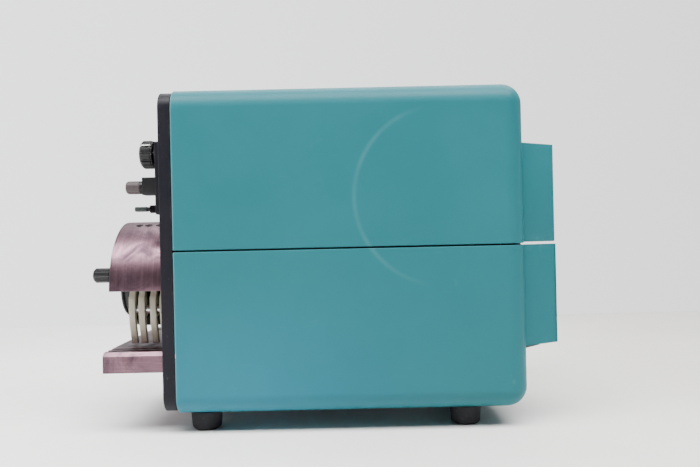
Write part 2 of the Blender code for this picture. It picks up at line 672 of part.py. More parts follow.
def cams():
    """Four curved levers on one rod: an arc over the rotor, a boss and a thin tail that leans back."""
    centre, pivot = (0, HEAD_Z), (CAM_PIVOT_X, CAM_PIVOT_Z)
    waist = -math.degrees(math.asin((HEAD_Z - CAM_PIVOT_Z - 0.87) / CAM_INNER))
    tip = math.radians(CAM_REACH)
    middle = (CAM_INNER + CAM_OUTER) / 2
    nose = arc((middle * math.cos(tip), HEAD_Z + middle * math.sin(tip)), (CAM_OUTER - CAM_INNER) / 2,
               CAM_REACH, CAM_REACH + 180, 4)
    boss = arc(pivot, CAM_BOSS_RADIUS, 190, 285, 7)
    tail = [(35.6, 71.0), (31.0, 55.4), (35.0, 54.9), (39.4, 70.0), (40.5, 78.0), (40.5, 87.0), (38.6, 90.6)]
    rim = arc(centre, CAM_OUTER, 2, CAM_REACH, 20)[:-1] + nose
    rim += arc(centre, CAM_INNER, CAM_REACH, waist, 22)[1:] + boss + tail
    pin("cam_pivot_rod", ROD_RADIUS, pivot, ROD_FRONT, -97.9, STEEL)
    for i, y in enumerate(CAM_Y):
        cam = outlined(f"occlusion_cam_{i + 1}", [rim, circle(pivot, ROD_RADIUS + GAP, 20)],
                       y - CAM_WIDTH / 2, y + CAM_WIDTH / 2, IVORY)
        put_origin(cam, (CAM_PIVOT_X, y, CAM_PIVOT_Z))


def tube_plate():
    """Thick plate under the rotor with chamfered side edges and grooves that hold the tube clips."""
    top, half, groove = TUBE_PLATE_TOP, TUBE_PLATE_HALF, TUBE_PLATE_TOP - CLIP_GROOVE
    right = [(half, TUBE_PLATE_BOTTOM), (half, top - TUBE_PLATE_CHAMFER), (half - TUBE_PLATE_CHAMFER, top)]
    for x in CLIP_GROOVE_X:
        right += [(x + 2, top), (x + 2, groove), (x - 2, groove), (x - 2, top)]
    left = [(-x, z) for x, z in reversed(right)]
    outlined("tube_plate", [right + left], TUBE_PLATE_FRONT, PANEL_FRONT - GAP, MAUVE)


# ---------------------------------------------------------------- drive and electronics

def gear_rim(teeth, centre, turn=0.0):
    """Outline of a spur gear with straight-cut flanks that lie just inside the involute."""
    pressure = math.radians(20)
    pitch = GEAR_MODULE * teeth / 2
    base = pitch * math.cos(pressure)
    tip, root = pitch + 0.8 * GEAR_MODULE, pitch - 1.25 * GEAR_MODULE
    backlash = 0.25

    def half_angle(radius):
        slope = math.acos(min(1.0, base / radius))
        return (math.pi / (2 * teeth) + math.tan(pressure) - pressure - (math.tan(slope) - slope)
                - backlash / (2 * pitch))

    rim = []
    for tooth in range(teeth):
        middle = turn + 2 * math.pi * tooth / teeth
        for radius, side in ((root, -1), (tip, -1), (tip, 1), (root, 1)):
            angle = middle + side * half_angle(max(radius, base))
            rim.append((centre[0] + radius * math.cos(angle), centre[1] + radius * math.sin(angle)))
    return rim


def drive():
    """Motor on its bracket, the pinion and the gear on the rotor shaft."""
    bore = circle((0, HEAD_Z), SHAFT_RADIUS + GAP, 20)
    gear = outlined("drive_gear", [gear_rim(GEAR_TEETH, (0, HEAD_Z)), bore], GEAR_FRONT, GEAR_BACK, BRASS)
    put_origin(gear, (0, GEAR_BACK, HEAD_Z))
    pinion = outlined("motor_pinion", [gear_rim(PINION_TEETH, (0, MOTOR_Z), math.pi / PINION_TEETH),
                                       circle((0, MOTOR_Z), 3.3, 16)], GEAR_FRONT, GEAR_BACK, STEEL)
    put_origin(pinion, (0, GEAR_BACK, MOTOR_Z))
    shaft = rod("motor_shaft", 3.0, (0, -80.5, MOTOR_Z), (0, -45, MOTOR_Z), STEEL, sides=16)
    put_origin(shaft, (0, GEAR_BACK, MOTOR_Z))
    bracket = block("motor_bracket", (-34, -66, 22 + GAP), (34, -63, 170), ZINC)
    join(bracket, block("bracket_foot_guide", (-34, -64, 22 + GAP), (34, -38, 25 + GAP)))
    cut(bracket, rod("bracket_hole_cutter", 8.3, (0, -80, MOTOR_Z), (0, -50, MOTOR_Z)))
    motor = rod("drive_motor", 25.0, (0, -62.7, MOTOR_Z), (0, 4, MOTOR_Z), DARK_GREY, sides=32)
    join(motor, rod("motor_boss_guide", 8.0, (0, -66, MOTOR_Z), (0, -60, MOTOR_Z)),
         rod("motor_end_guide", 10.0, (0, 3, MOTOR_Z), (0, 9, MOTOR_Z)))
    cut(motor, rod("motor_bore_cutter", 3.3, (0, -80, MOTOR_Z), (0, -44, MOTOR_Z), sides=16))


def electronics():
    """Mains transformer and the control board."""
    core = block("transformer_core", (-28, 66, 22 + GAP), (28, 98, 70), DARK_GREY)
    for side in (-1, 1):
        near, far = sorted((side * 9.5, side * 20))
        cut(core, block("core_window_cutter", (near, 50, 32), (far, 110, 61)))
    coil = block("transformer_coil", (-19.4, 60, 32.6), (19.4, 104, 60.4), COPPER)
    cut(coil, block("coil_hole_cutter", (-10.1, 65.4, 20), (10.1, 98.6, 80)))
    board = block("circuit_board", (-60, -50, 26), (-58.4, 100, 110), BOARD)
    for y, z, depth, size in ((-20, 70, 12, 22), (25, 60, 9, 16), (60, 85, 14, 18)):
        join(board, block("board_part_guide", (-58.6, y, z), (-58.4 + depth, y + size, z + size)))


def build():
    case()
    feet()
    chassis()
    rear_box()
    front_panel()
    speed_control()
    push_switch()
    toggle_switch()
    bearing_housing()
    rotor()
    rollers()
    pump_cover()
    thumb_screw()
    cams()
    tube_plate()
    drive()
    electronics()
    for piece in bpy.data.objects:
        piece.location.z += FOOT_DROP * MM


build()
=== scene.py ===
import math

import bmesh
import bpy
from mathutils import Matrix, Vector


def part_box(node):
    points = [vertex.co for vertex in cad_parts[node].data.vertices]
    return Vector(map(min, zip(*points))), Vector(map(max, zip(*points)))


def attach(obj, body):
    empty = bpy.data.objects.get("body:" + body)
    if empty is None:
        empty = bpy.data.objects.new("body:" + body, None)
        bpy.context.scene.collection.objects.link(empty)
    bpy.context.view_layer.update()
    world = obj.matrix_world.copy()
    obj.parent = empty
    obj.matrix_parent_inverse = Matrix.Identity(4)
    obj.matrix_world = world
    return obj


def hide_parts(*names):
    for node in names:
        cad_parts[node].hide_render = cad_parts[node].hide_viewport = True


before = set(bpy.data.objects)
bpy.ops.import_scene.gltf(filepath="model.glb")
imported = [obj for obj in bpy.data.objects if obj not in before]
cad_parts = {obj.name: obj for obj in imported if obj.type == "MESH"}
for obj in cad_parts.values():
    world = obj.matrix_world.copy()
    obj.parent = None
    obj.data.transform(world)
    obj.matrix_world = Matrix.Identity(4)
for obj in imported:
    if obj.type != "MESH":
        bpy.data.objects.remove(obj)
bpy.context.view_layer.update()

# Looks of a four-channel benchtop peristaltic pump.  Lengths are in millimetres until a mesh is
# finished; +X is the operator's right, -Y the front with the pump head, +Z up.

MM = 0.001
FOOT_DROP = 2.9                 # heights are measured from a datum this far above the bench
WALL_LEFT = (2.25, 2.27, 2.32)
WALL_RIGHT = (1.62, 1.67, 1.62)
WALL_GLOW = (0.80, 0.80, 0.82)
ROOM_LIGHT = (0.15, 0.155, 0.165)


def corners(node):
    """The lowest and the highest corner of a CAD node, in millimetres from the case datum."""
    low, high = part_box(node)
    datum = Vector((0, 0, FOOT_DROP))
    return low / MM - datum, high / MM - datum


def middle(node):
    low, high = corners(node)
    return (low + high) / 2


# ---------------------------------------------------------------- sizes that come from the frame

SEAM_GAP = 1.2
WALL = 3.0
CASE_EDGE = 14.0
PANEL_CORNER = 12.0
FLANGE_MARGIN = 5.0
WING_WALL = 3.0

CASE_HALF = corners("upper_shell")[1].x
CASE_FRONT = corners("upper_shell")[0].y
CASE_TOP = corners("upper_shell")[1].z
CASE_BOTTOM = corners("lower_shell")[0].z
CASE_REAR = corners("rear_connector_box")[0].y + 5.5
SEAM = corners("upper_shell")[0].z - SEAM_GAP / 2
BOX_LOW, BOX_HIGH = corners("rear_connector_box")
PANEL_LOW, PANEL_HIGH = corners("front_panel")
STRIP_LOW, STRIP_HIGH = corners("control_plate")
KNOB = middle("speed_knob")
BUTTON = middle("push_button")
TOGGLE = middle("toggle_body")
HEAD = middle("rotor_core")
COVER_LOW, COVER_HIGH = corners("pump_cover")
COVER_OUTER = COVER_HIGH.x
COVER_INNER = 38.5
COVER_BORE = 2.8
HUB_BORE = 6.3
NUT_BORE = 4.8
CAM_INNER, CAM_OUTER = 32.3, 36.5
CAM_BORE = 3.75
CAM_BOSS = 5.3
CAM_TIP_ANGLE = 150.0
CAM_WAIST_Z = 80.87
PLATE_CHAMFER = 2.4
GROOVE_DEPTH = 1.2
GROOVES = ((61.0, 57.0), (53.0, 49.0))
HINGE = middle("cover_hinge_pin")
THUMB = middle("thumb_screw")
ROD = middle("cam_pivot_rod")
PLATE_LOW, PLATE_HIGH = corners("tube_plate")


# ---------------------------------------------------------------- node materials

class Graph:
    """The node graph of one material, written with short calls."""

    def __init__(self, name, roughness=0.5, metallic=0.0, specular=0.5):
        self.material = bpy.data.materials.new(name)
        self.material.use_nodes = True
        self.tree = self.material.node_tree
        self.shader = self.tree.nodes["Principled BSDF"]
        self.shader.inputs["Roughness"].default_value = roughness
        self.shader.inputs["Metallic"].default_value = metallic
        self.shader.inputs["Specular IOR Level"].default_value = specular
        self.place = self.add("ShaderNodeTexCoord").outputs["Object"]

    def add(self, kind):
        return self.tree.nodes.new(kind)

    def feed(self, socket, value):
        """Connects an output to a socket, or sets the socket's own value."""
        if isinstance(value, bpy.types.NodeSocket):
            self.tree.links.new(value, socket)
        elif isinstance(value, tuple) and len(value) == 3 and socket.type == "RGBA":
            socket.default_value = (*value, 1.0)
        else:
            socket.default_value = value

    def stretched(self, scale, shift=(0, 0, 0), turn=(0, 0, 0)):
        """The object's coordinates, scaled along each axis."""
        node = self.add("ShaderNodeMapping")
        self.feed(node.inputs["Vector"], self.place)
        node.inputs["Location"].default_value = shift
        node.inputs["Rotation"].default_value = turn
        node.inputs["Scale"].default_value = scale
        return node.outputs["Vector"]

    def noise(self, scale, detail=3.0, rough=0.5, vector=None, distortion=0.0):
        node = self.add("ShaderNodeTexNoise")
        self.feed(node.inputs["Vector"], vector or self.place)
        node.inputs["Scale"].default_value = scale
        node.inputs["Detail"].default_value = detail
        node.inputs["Roughness"].default_value = rough
        node.inputs["Distortion"].default_value = distortion
        return node.outputs["Fac"]

    def cells(self, scale, vector=None):
        node = self.add("ShaderNodeTexVoronoi")
        self.feed(node.inputs["Vector"], vector or self.place)
        node.inputs["Scale"].default_value = scale
        return node.outputs["Distance"], node.outputs["Color"]

    def spread(self, value, low, high, to_low=0.0, to_high=1.0):
        """Maps low..high to to_low..to_high, and clamps."""
        node = self.add("ShaderNodeMapRange")
        self.feed(node.inputs["Value"], value)
        for name, number in (("From Min", low), ("From Max", high), ("To Min", to_low), ("To Max", to_high)):
            node.inputs[name].default_value = number
        return node.outputs["Result"]

    def math(self, operation, first, second=0.0):
        node = self.add("ShaderNodeMath")
        node.operation = operation
        self.feed(node.inputs[0], first)
        self.feed(node.inputs[1], second)
        return node.outputs[0]

    def axis(self, name):
        node = self.add("ShaderNodeSeparateXYZ")
        self.feed(node.inputs[0], self.place)
        return node.outputs[name]

    def mix(self, amount, first, second, mode="MIX"):
        node = self.add("ShaderNodeMix")
        node.data_type = "RGBA"
        node.blend_type = mode
        self.feed(node.inputs["Factor"], amount)
        self.feed(node.inputs[6], first)
        self.feed(node.inputs[7], second)
        return node.outputs[2]

    def rim(self, radius):
        """About 1 on a sharp outer or inner edge and 0 on a flat face."""
        bevel = self.add("ShaderNodeBevel")
        bevel.samples = 4
        bevel.inputs["Radius"].default_value = radius * MM
        geometry = self.add("ShaderNodeNewGeometry")
        product = self.add("ShaderNodeVectorMath")
        product.operation = "DOT_PRODUCT"
        self.feed(product.inputs[0], bevel.outputs["Normal"])
        self.feed(product.inputs[1], geometry.outputs["Normal"])
        return self.spread(product.outputs["Value"], 1.0, 0.8)

    def color(self, value):
        self.feed(self.shader.inputs["Base Color"], value)

    def rough(self, value):
        self.feed(self.shader.inputs["Roughness"], value)

    def bump(self, height, depth, strength=1.0):
        """Relief of the given depth in millimetres; a second call adds to the first."""
        node = self.add("ShaderNodeBump")
        node.inputs["Strength"].default_value = strength
        node.inputs["Distance"].default_value = depth * MM
        self.feed(node.inputs["Height"], height)
        before = self.shader.inputs["Normal"].links
        if before:
            self.feed(node.inputs["Normal"], before[0].from_socket)
        self.feed(self.shader.inputs["Normal"], node.outputs["Normal"])


def teal_enamel():
    """Stove enamel on sheet metal: faint mottling, orange peel, scuffs and a chipped front rim; a painted
    bluish reflection low at the front and a painted highlight along the front rim.
    """
    g = Graph("teal_enamel", specular=0.15)
    cloud = g.noise(9.0, 4.0, 0.6)
    tone = g.mix(g.spread(cloud, 0.3, 0.7), (0.0095, 0.107, 0.127), (0.0125, 0.120, 0.141))
    speckle = g.noise(1500.0, 2.0, 0.6)
    tone = g.mix(g.spread(speckle, 0.35, 0.65, 0.0, 0.22), tone, (0.030, 0.158, 0.180))
    # painted reflection: a bluish sheen painted into the enamel, strongest at the bottom and the front of
    # the case
    low = g.math("MULTIPLY", g.spread(g.axis("Z"), 0.11, 0.02), g.spread(g.axis("Y"), 0.10, -0.04))
    tone = g.mix(g.math("MULTIPLY", low, 0.35), tone, (0.020, 0.185, 0.300))
    scratch = g.noise(1.0, 3.0, 0.55, g.stretched((25, 60, 900), turn=(0.5, 0.0, 0.0)), 0.4)
    fine = g.math("MULTIPLY", g.spread(scratch, 0.66, 0.74), g.spread(g.noise(14.0), 0.5, 0.62))
    tone = g.mix(g.math("MULTIPLY", fine, 0.10), tone, (0.10, 0.28, 0.31))
    scuff = g.math("MULTIPLY", g.spread(g.noise(38.0, 5.0, 0.7), 0.62, 0.72),
                   g.spread(g.noise(7.0), 0.52, 0.64))
    tone = g.mix(g.math("MULTIPLY", scuff, 0.20), tone, (0.12, 0.30, 0.33))
    arc_place = g.stretched((0.0, 1.0, 1.0), (0.0, -0.084, -0.159))
    swirl = g.add("ShaderNodeVectorMath")
    swirl.operation = "LENGTH"
    g.feed(swirl.inputs[0], arc_place)
    off_arc = g.math("ABSOLUTE", g.math("SUBTRACT", swirl.outputs["Value"], 0.061))
    band = g.math("SUBTRACT", 1.0, g.spread(off_arc, 0.0004, 0.0022))
    arc = g.math("MULTIPLY", band,
                 g.math("MULTIPLY", g.spread(g.axis("Y"), 0.075, 0.045), g.noise(60.0, 3.0)))
    tone = g.mix(g.math("MULTIPLY", arc, 0.30), tone, (0.10, 0.27, 0.29))
    lit_rim = g.spread(g.axis("Y"), (CASE_FRONT + 1.3) * MM, (CASE_FRONT + 0.5) * MM, 0.0, 0.35)
    tone = g.mix(lit_rim, tone, (0.12, 0.30, 0.32))
    near_rim = g.spread(g.axis("Y"), (CASE_FRONT + 2.6) * MM, (CASE_FRONT + 0.4) * MM)
    worn_low = g.spread(g.axis("Z"), 0.075, 0.045, 0.80, 1.0)
    chip = g.spread(g.math("MULTIPLY", g.math("MULTIPLY", near_rim, worn_low), g.noise(160.0, 4.0, 0.7)),
                    0.55, 0.58)
    tone = g.mix(chip, tone, (0.42, 0.40, 0.38))
    g.color(tone)
    g.rough(g.spread(g.noise(24.0, 4.0, 0.65), 0.3, 0.7, 0.36, 0.50))
    g.bump(g.noise(620.0, 2.0, 0.5), 0.05, 0.35)
    g.bump(g.math("SUBTRACT", 1.0, chip), 0.08, 0.8)
    return g.material


def black_panel():
    """Dark painted aluminium, rubbed pale along its edges."""
    g = Graph("black_panel", specular=0.16)
    cloud = g.noise(30.0, 4.0, 0.6)
    tone = g.mix(g.spread(cloud, 0.3, 0.7), (0.005, 0.005, 0.009), (0.008, 0.0075, 0.0115))
    rubbed = g.math("MULTIPLY", g.rim(0.9), g.spread(g.noise(90.0, 4.0, 0.7), 0.42, 0.62))
    tone = g.mix(g.math("MULTIPLY", rubbed, 0.55), tone, (0.20, 0.17, 0.18))
    dust = g.spread(g.noise(420.0, 3.0, 0.7), 0.62, 0.74)
    tone = g.mix(g.math("MULTIPLY", dust, 0.10), tone, (0.22, 0.21, 0.21))
    g.color(tone)
    g.rough(g.spread(g.noise(45.0, 4.0, 0.6), 0.3, 0.7, 0.42, 0.56))
    g.bump(g.noise(1300.0, 2.0, 0.6), 0.03, 0.5)
    return g.material


def mauve_anodised(name, grain, shade=1.0):
    """Faded purple anodising over turned or milled metal, stained dark in places."""
    g = Graph(name, metallic=1.0)
    broad = g.spread(g.noise(28.0, 4.0, 0.65), 0.32, 0.68)
    tone = g.mix(broad, (0.115, 0.066, 0.086), (0.200, 0.112, 0.138))
    streak = g.noise(1.0, 3.0, 0.6, g.stretched(grain))
    tone = g.mix(g.spread(streak, 0.40, 0.68, 0.0, 0.30), tone, (0.38, 0.235, 0.265))
    stain = g.spread(g.noise(48.0, 5.0, 0.7, distortion=0.6), 0.48, 0.66)
    tone = g.mix(g.math("MULTIPLY", stain, 0.72), tone, (0.045, 0.030, 0.042))
    worn = g.math("MULTIPLY", g.rim(0.7), g.spread(g.noise(120.0), 0.35, 0.6))
    tone = g.mix(g.math("MULTIPLY", worn, 0.45), tone, (0.66, 0.50, 0.53))
    g.color(g.mix(1.0 - shade, tone, (0.05, 0.035, 0.042)))
    g.rough(g.math("ADD", g.spread(streak, 0.3, 0.7, 0.28, 0.38), g.math("MULTIPLY", stain, 0.16)))
    g.bump(streak, 0.03, 0.45)
    return g.material


def ivory_plastic():
    """Yellowed moulded plastic, grubby along its length."""
    g = Graph("ivory_plastic", roughness=0.45)
    tone = g.mix(g.spread(g.noise(45.0, 3.0), 0.3, 0.7), (0.40, 0.37, 0.28), (0.50, 0.47, 0.37))
    run = g.noise(1.0, 4.0, 0.65, g.stretched((160, 160, 22)))
    tone = g.mix(g.spread(run, 0.50, 0.74, 0.0, 0.45), tone, (0.36, 0.33, 0.23))
    grime = g.math("MULTIPLY", g.rim(0.6), g.spread(g.noise(180.0), 0.4, 0.6))
    g.color(g.mix(g.math("MULTIPLY", grime, 0.35), tone, (0.28, 0.25, 0.17)))
    g.bump(g.noise(700.0, 2.0), 0.02, 0.4)
    return g.material


def black_rubber():
    g = Graph("black_rubber", specular=0.15)
    tone = g.mix(g.spread(g.noise(60.0, 4.0), 0.3, 0.7), (0.014, 0.014, 0.017), (0.026, 0.026, 0.029))
    dust = g.spread(g.noise(500.0, 4.0, 0.7), 0.58, 0.74)
    g.color(g.mix(g.math("MULTIPLY", dust, 0.22), tone, (0.18, 0.17, 0.16)))
    g.rough(g.spread(g.noise(80.0), 0.3, 0.7, 0.62, 0.85))
    g.bump(g.noise(900.0, 3.0), 0.05, 0.5)
    return g.material


def plastic(name, dark, light, roughness, dirt=(0.2, 0.19, 0.18)):
    """Moulded plastic with a fine spark-eroded grain and some dust."""
    g = Graph(name, specular=0.25)
    tone = g.mix(g.spread(g.noise(55.0, 4.0), 0.3, 0.7), dark, light)
    dust = g.spread(g.noise(380.0, 4.0, 0.7), 0.60, 0.76)
    tone = g.mix(g.math("MULTIPLY", dust, 0.16), tone, dirt)
    worn = g.math("MULTIPLY", g.rim(0.4), g.spread(g.noise(210.0), 0.4, 0.6))
    g.color(g.mix(g.math("MULTIPLY", worn, 0.25), tone, dirt))
    g.rough(g.spread(g.noise(120.0), 0.3, 0.7, roughness - 0.06, roughness + 0.08))
    g.bump(g.noise(1800.0, 2.0), 0.02, 0.5)
    return g.material


def metal(name, dark, light, roughness, grain=(60, 900, 60), spangle=0.0):
    """Bare or plated metal with drawn scratches, and crystals if spangle is above 0."""
    g = Graph(name, metallic=1.0)
    tone = g.mix(g.spread(g.noise(70.0, 4.0, 0.6), 0.3, 0.7), dark, light)
    if spangle:
        grey = g.spread(g.cells(160.0)[0], 0.0, 0.7, 0.0, spangle)
        tone = g.mix(grey, tone, dark)
    scratch = g.noise(1.0, 3.0, 0.6, g.stretched(grain))
    tarnish = g.spread(g.noise(110.0, 4.0, 0.7), 0.58, 0.75)
    g.color(g.mix(g.math("MULTIPLY", tarnish, 0.4), tone, tuple(0.35 * c for c in dark)))
    g.rough(g.spread(scratch, 0.3, 0.7, roughness - 0.07, roughness + 0.10))
    g.bump(scratch, 0.02, 0.35)
    return g.material


def painted_sheet():
    """Grey powder coat with its fine pebbled texture."""
    g = Graph("dark_grey_sheet")
    tone = g.mix(g.spread(g.noise(40.0, 4.0), 0.3, 0.7), (0.045, 0.048, 0.050), (0.066, 0.068, 0.070))
    worn = g.math("MULTIPLY", g.rim(0.6), g.spread(g.noise(150.0), 0.45, 0.6))
    g.color(g.mix(g.math("MULTIPLY", worn, 0.4), tone, (0.25, 0.25, 0.24)))
    g.rough(g.spread(g.noise(90.0), 0.3, 0.7, 0.5, 0.64))
    g.bump(g.noise(1100.0, 2.0), 0.08, 0.6)
    return g.material


def board_green():
    """Solder mask over a regular field of copper tracks."""
    g = Graph("circuit_board", roughness=0.4)
    tracks = g.spread(g.noise(1.0, 1.0, 0.4, g.stretched((40, 300, 420))), 0.50, 0.54)
    g.color(g.mix(tracks, (0.012, 0.085, 0.035), (0.03, 0.17, 0.07)))
    g.bump(tracks, 0.04, 0.6)
    return g.material


def winding_tape():
    """Yellow polyester tape wound round and round, with its overlapping edges."""
    g = Graph("winding_tape", roughness=0.35)
    turns = g.add("ShaderNodeTexWave")
    g.feed(turns.inputs["Vector"], g.place)
    turns.bands_direction = "Z"
    turns.inputs["Scale"].default_value = 28.0
    turns.inputs["Distortion"].default_value = 0.6
    edge = g.spread(turns.outputs["Fac"], 0.0, 0.3)
    tone = g.mix(g.noise(60.0, 3.0), (0.50, 0.34, 0.07), (0.64, 0.48, 0.14))
    g.color(g.mix(edge, (0.30, 0.19, 0.04), tone))
    g.bump(edge, 0.06, 0.7)
    return g.material


def white_paint():
    """Screen-printed or filled-in marks, rubbed thin in places."""
    g = Graph("white_paint", roughness=0.5)
    wear = g.spread(g.noise(700.0, 3.0, 0.7), 0.52, 0.72, 0.0, 0.7)
    g.color(g.mix(wear, (0.78, 0.78, 0.76), (0.25, 0.25, 0.25)))
    return g.material


MATERIALS = {
    "teal_enamel": teal_enamel(),
    "black_panel": black_panel(),
    "dark_grey_sheet": painted_sheet(),
    "mauve_anodised": mauve_anodised("mauve_anodised", (12, 1500, 12)),
    "mauve_milled": mauve_anodised("mauve_milled", (60, 35, 1300), 0.85),
    "ivory_plastic": ivory_plastic(),
    "black_rubber": black_rubber(),
    "steel": metal("steel", (0.42, 0.42, 0.42), (0.62, 0.62, 0.61), 0.26),
    "zinc_plate": metal("zinc_plate", (0.30, 0.31, 0.31), (0.46, 0.46, 0.45), 0.36, spangle=0.5),
    "black_plastic": plastic("black_plastic", (0.006, 0.006, 0.007), (0.012, 0.012, 0.013), 0.36,
                             (0.07, 0.07, 0.07)),
    "grey_cap": plastic("grey_cap", (0.060, 0.046, 0.049), (0.090, 0.070, 0.072), 0.42, (0.05, 0.05, 0.045)),
    "brass": metal("brass", (0.42, 0.27, 0.08), (0.62, 0.43, 0.17), 0.3),
    "circuit_board": board_green(),
    "winding_tape": winding_tape(),
    "white_paint": white_paint(),
    "blackened": metal("blackened", (0.018, 0.015, 0.019), (0.040, 0.034, 0.040), 0.42),
    "tip_grey": plastic("tip_grey", (0.018, 0.023, 0.022), (0.034, 0.042, 0.040), 0.30, (0.06, 0.07, 0.068)),
}


# ---------------------------------------------------------------- making pieces

def shown(name, mesh, body, slot, replaced=(), material=None, smooth=35):
    """A finished piece in its place, riding on a body and standing for the CAD nodes it replaces."""
    mesh.shade_smooth()
    mesh.set_sharp_from_angle(angle=math.radians(smooth))
    piece = bpy.data.objects.new(name, mesh)
    bpy.context.scene.collection.objects.link(piece)
    mesh.materials.clear()
    mesh.materials.append(MATERIALS[material or slot])
    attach(piece, body)
    if replaced:
        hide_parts(*replaced)
    return piece


def mesh_of(bm, name):
    """The mesh of a bmesh, raised to its place over the bench and scaled to metres."""
    bmesh.ops.translate(bm, vec=(0, 0, FOOT_DROP), verts=bm.verts)
    bmesh.ops.scale(bm, vec=(MM, MM, MM), verts=bm.verts)
    bmesh.ops.recalc_face_normals(bm, faces=bm.faces)
    mesh = bpy.data.meshes.new(name)
    bm.to_mesh(mesh)
    bm.free()
    return mesh


def cube(low, high, edge=0.0, segments=3, keep=None):
    """A bmesh box with its edges rounded, but for those that keep picks out."""
    bm = bmesh.new()
    bmesh.ops.create_cube(bm, size=1.0)
    for vert in bm.verts:
        vert.co = Vector(high[i] if vert.co[i] > 0 else low[i] for i in range(3))
    if edge:
        chosen = [e for e in bm.edges if keep is None or not keep(e)]
        bmesh.ops.bevel(bm, geom=chosen, offset=edge, segments=segments, profile=0.5, affect="EDGES")
    return bm


def block(name, low, high, edge=0.0, segments=3, keep=None):
    return mesh_of(cube(low, high, edge, segments, keep), name)


FACING = {"front": (math.radians(90), "X"), "rear": (math.radians(-90), "X"), "up": (0.0, "X"),
          "down": (math.radians(180), "X"), "right": (math.radians(90), "Y")}


def lathe(name, profile, centre, facing="front", steps=96, flutes=None):
    """A turned mesh from (radius, height) points, top first; flutes(angle, radius) may shape it."""
    bm = bmesh.new()
    rings = []
    for radius, height in profile:
        if radius == 0:
            rings.append([bm.verts.new((0, 0, height))])
            continue
        ring = []
        for i in range(steps):
            angle = 2 * math.pi * i / steps
            r = flutes(angle, radius) if flutes else radius
            ring.append(bm.verts.new((r * math.cos(angle), r * math.sin(angle), height)))
        rings.append(ring)
    pairs = list(zip(rings, rings[1:]))
    if profile[0][0] > 0:
        pairs.append((rings[-1], rings[0]))
    for upper, lower in pairs:
        for i in range(steps):
            j = (i + 1) % steps
            if len(upper) == 1:
                bm.faces.new((upper[0], lower[i], lower[j]))
            elif len(lower) == 1:
                bm.faces.new((upper[i], lower[0], upper[j]))
            else:
                bm.faces.new((upper[i], lower[i], lower[j], upper[j]))
    angle, axis = FACING[facing]
    turn = Matrix.Rotation(angle, 4, axis)
    bmesh.ops.transform(bm, matrix=Matrix.Translation(Vector(centre)) @ turn, verts=bm.verts)
    return mesh_of(bm, name)


def rounded(profile, radius, steps=4):
    """The profile with its inner corners replaced by arcs of up to the given radius."""
    points = [Vector(p) for p in profile]
    made = [tuple(points[0])]
    for before, here, after in zip(points, points[1:], points[2:]):
        back, ahead = before - here, after - here
        reach = min(radius, back.length * 0.45, ahead.length * 0.45)
        start, end = here + back.normalized() * reach, here + ahead.normalized() * reach
        for i in range(steps + 1):
            t = i / steps
            spot = start * (1 - t) ** 2 + here * 2 * t * (1 - t) + end * t ** 2
            made.append(tuple(spot))
    made.append(tuple(points[-1]))
    return made


def slab(name, outlines, front, back, edge=0.3, resolution=2):
    """A flat piece between two Y planes with rounded edges; outlines are lists of (x, z)."""
    curve = bpy.data.curves.new(name, "CURVE")
    curve.dimensions = "2D"
    curve.fill_mode = "BOTH"
    curve.bevel_depth = edge * MM
    curve.bevel_resolution = resolution
    curve.offset = -edge * MM
    curve.extrude = (abs(back - front) / 2 - edge) * MM
    for outline in outlines:
        spline = curve.splines.new("POLY")
        spline.points.add(len(outline) - 1)
        for spot, (x, z) in zip(spline.points, outline):
            spot.co = (x * MM, z * MM, 0.0, 1.0)
        spline.use_cyclic_u = True
    flat = bpy.data.objects.new(name + "_outline", curve)
    bpy.context.scene.collection.objects.link(flat)
    bpy.context.view_layer.update()
    mesh = bpy.data.meshes.new_from_object(flat.evaluated_get(bpy.context.evaluated_depsgraph_get()))
    bpy.data.objects.remove(flat)
    turn = Matrix.Rotation(math.radians(90), 4, "X")
    mesh.transform(Matrix.Translation((0, (front + back) / 2 * MM, FOOT_DROP * MM)) @ turn)
    bm = bmesh.new()
    bm.from_mesh(mesh)
    bmesh.ops.remove_doubles(bm, verts=bm.verts, dist=1e-6)
    bmesh.ops.recalc_face_normals(bm, faces=bm.faces)
    bm.to_mesh(mesh)
    bm.free()
    return mesh


def arc(centre, radius, start, end, steps):
    """Points along an arc from one angle to another, in degrees."""
    turns = [math.radians(start + (end - start) * i / steps) for i in range(steps + 1)]
    return [(centre[0] + radius * math.cos(t), centre[1] + radius * math.sin(t)) for t in turns]


def circle(centre, radius, steps=48):
    return arc(centre, radius, 0, 360 * (steps - 1) / steps, steps - 1)


def round_rectangle(low, high, radius, steps=12):
    """Outline of an upright rectangle with round corners, from its (x, z) corners."""
    spots = ((high[0] - radius, high[1] - radius, 0), (low[0] + radius, high[1] - radius, 90),
             (low[0] + radius, low[1] + radius, 180), (high[0] - radius, low[1] + radius, 270))
    return [point for x, z, turn in spots for point in arc((x, z), radius, turn, turn + 90, steps)]


def carved(mesh, *cutters, operation="DIFFERENCE"):
    """The mesh with the cutters' shapes taken away, or added."""
    for cutter in cutters:
        part = bpy.data.objects.new("carved", mesh)
        tool = bpy.data.objects.new("cutter", cutter)
        for each in (part, tool):
            bpy.context.scene.collection.objects.link(each)
        step = part.modifiers.new("carve", "BOOLEAN")
        step.operation = operation
        step.object = tool
        step.solver = "EXACT"
        bpy.context.view_layer.update()
        mesh = bpy.data.meshes.new_from_object(part.evaluated_get(bpy.context.evaluated_depsgraph_get()))
        for each in (part, tool):
            bpy.data.objects.remove(each)
    return mesh


def drill(radius, start, end, steps=48):
    """A cylinder between two points, to cut a hole with."""
    start, end = Vector(start), Vector(end)
    bm = bmesh.new()
    bmesh.ops.create_cone(bm, cap_ends=True, segments=steps, radius1=radius, radius2=radius,
                          depth=(end - start).length)
    turn = (end - start).to_track_quat("Z", "Y").to_matrix().to_4x4()
    bmesh.ops.transform(bm, matrix=Matrix.Translation((start + end) / 2) @ turn, verts=bm.verts)
    return mesh_of(bm, "drill")


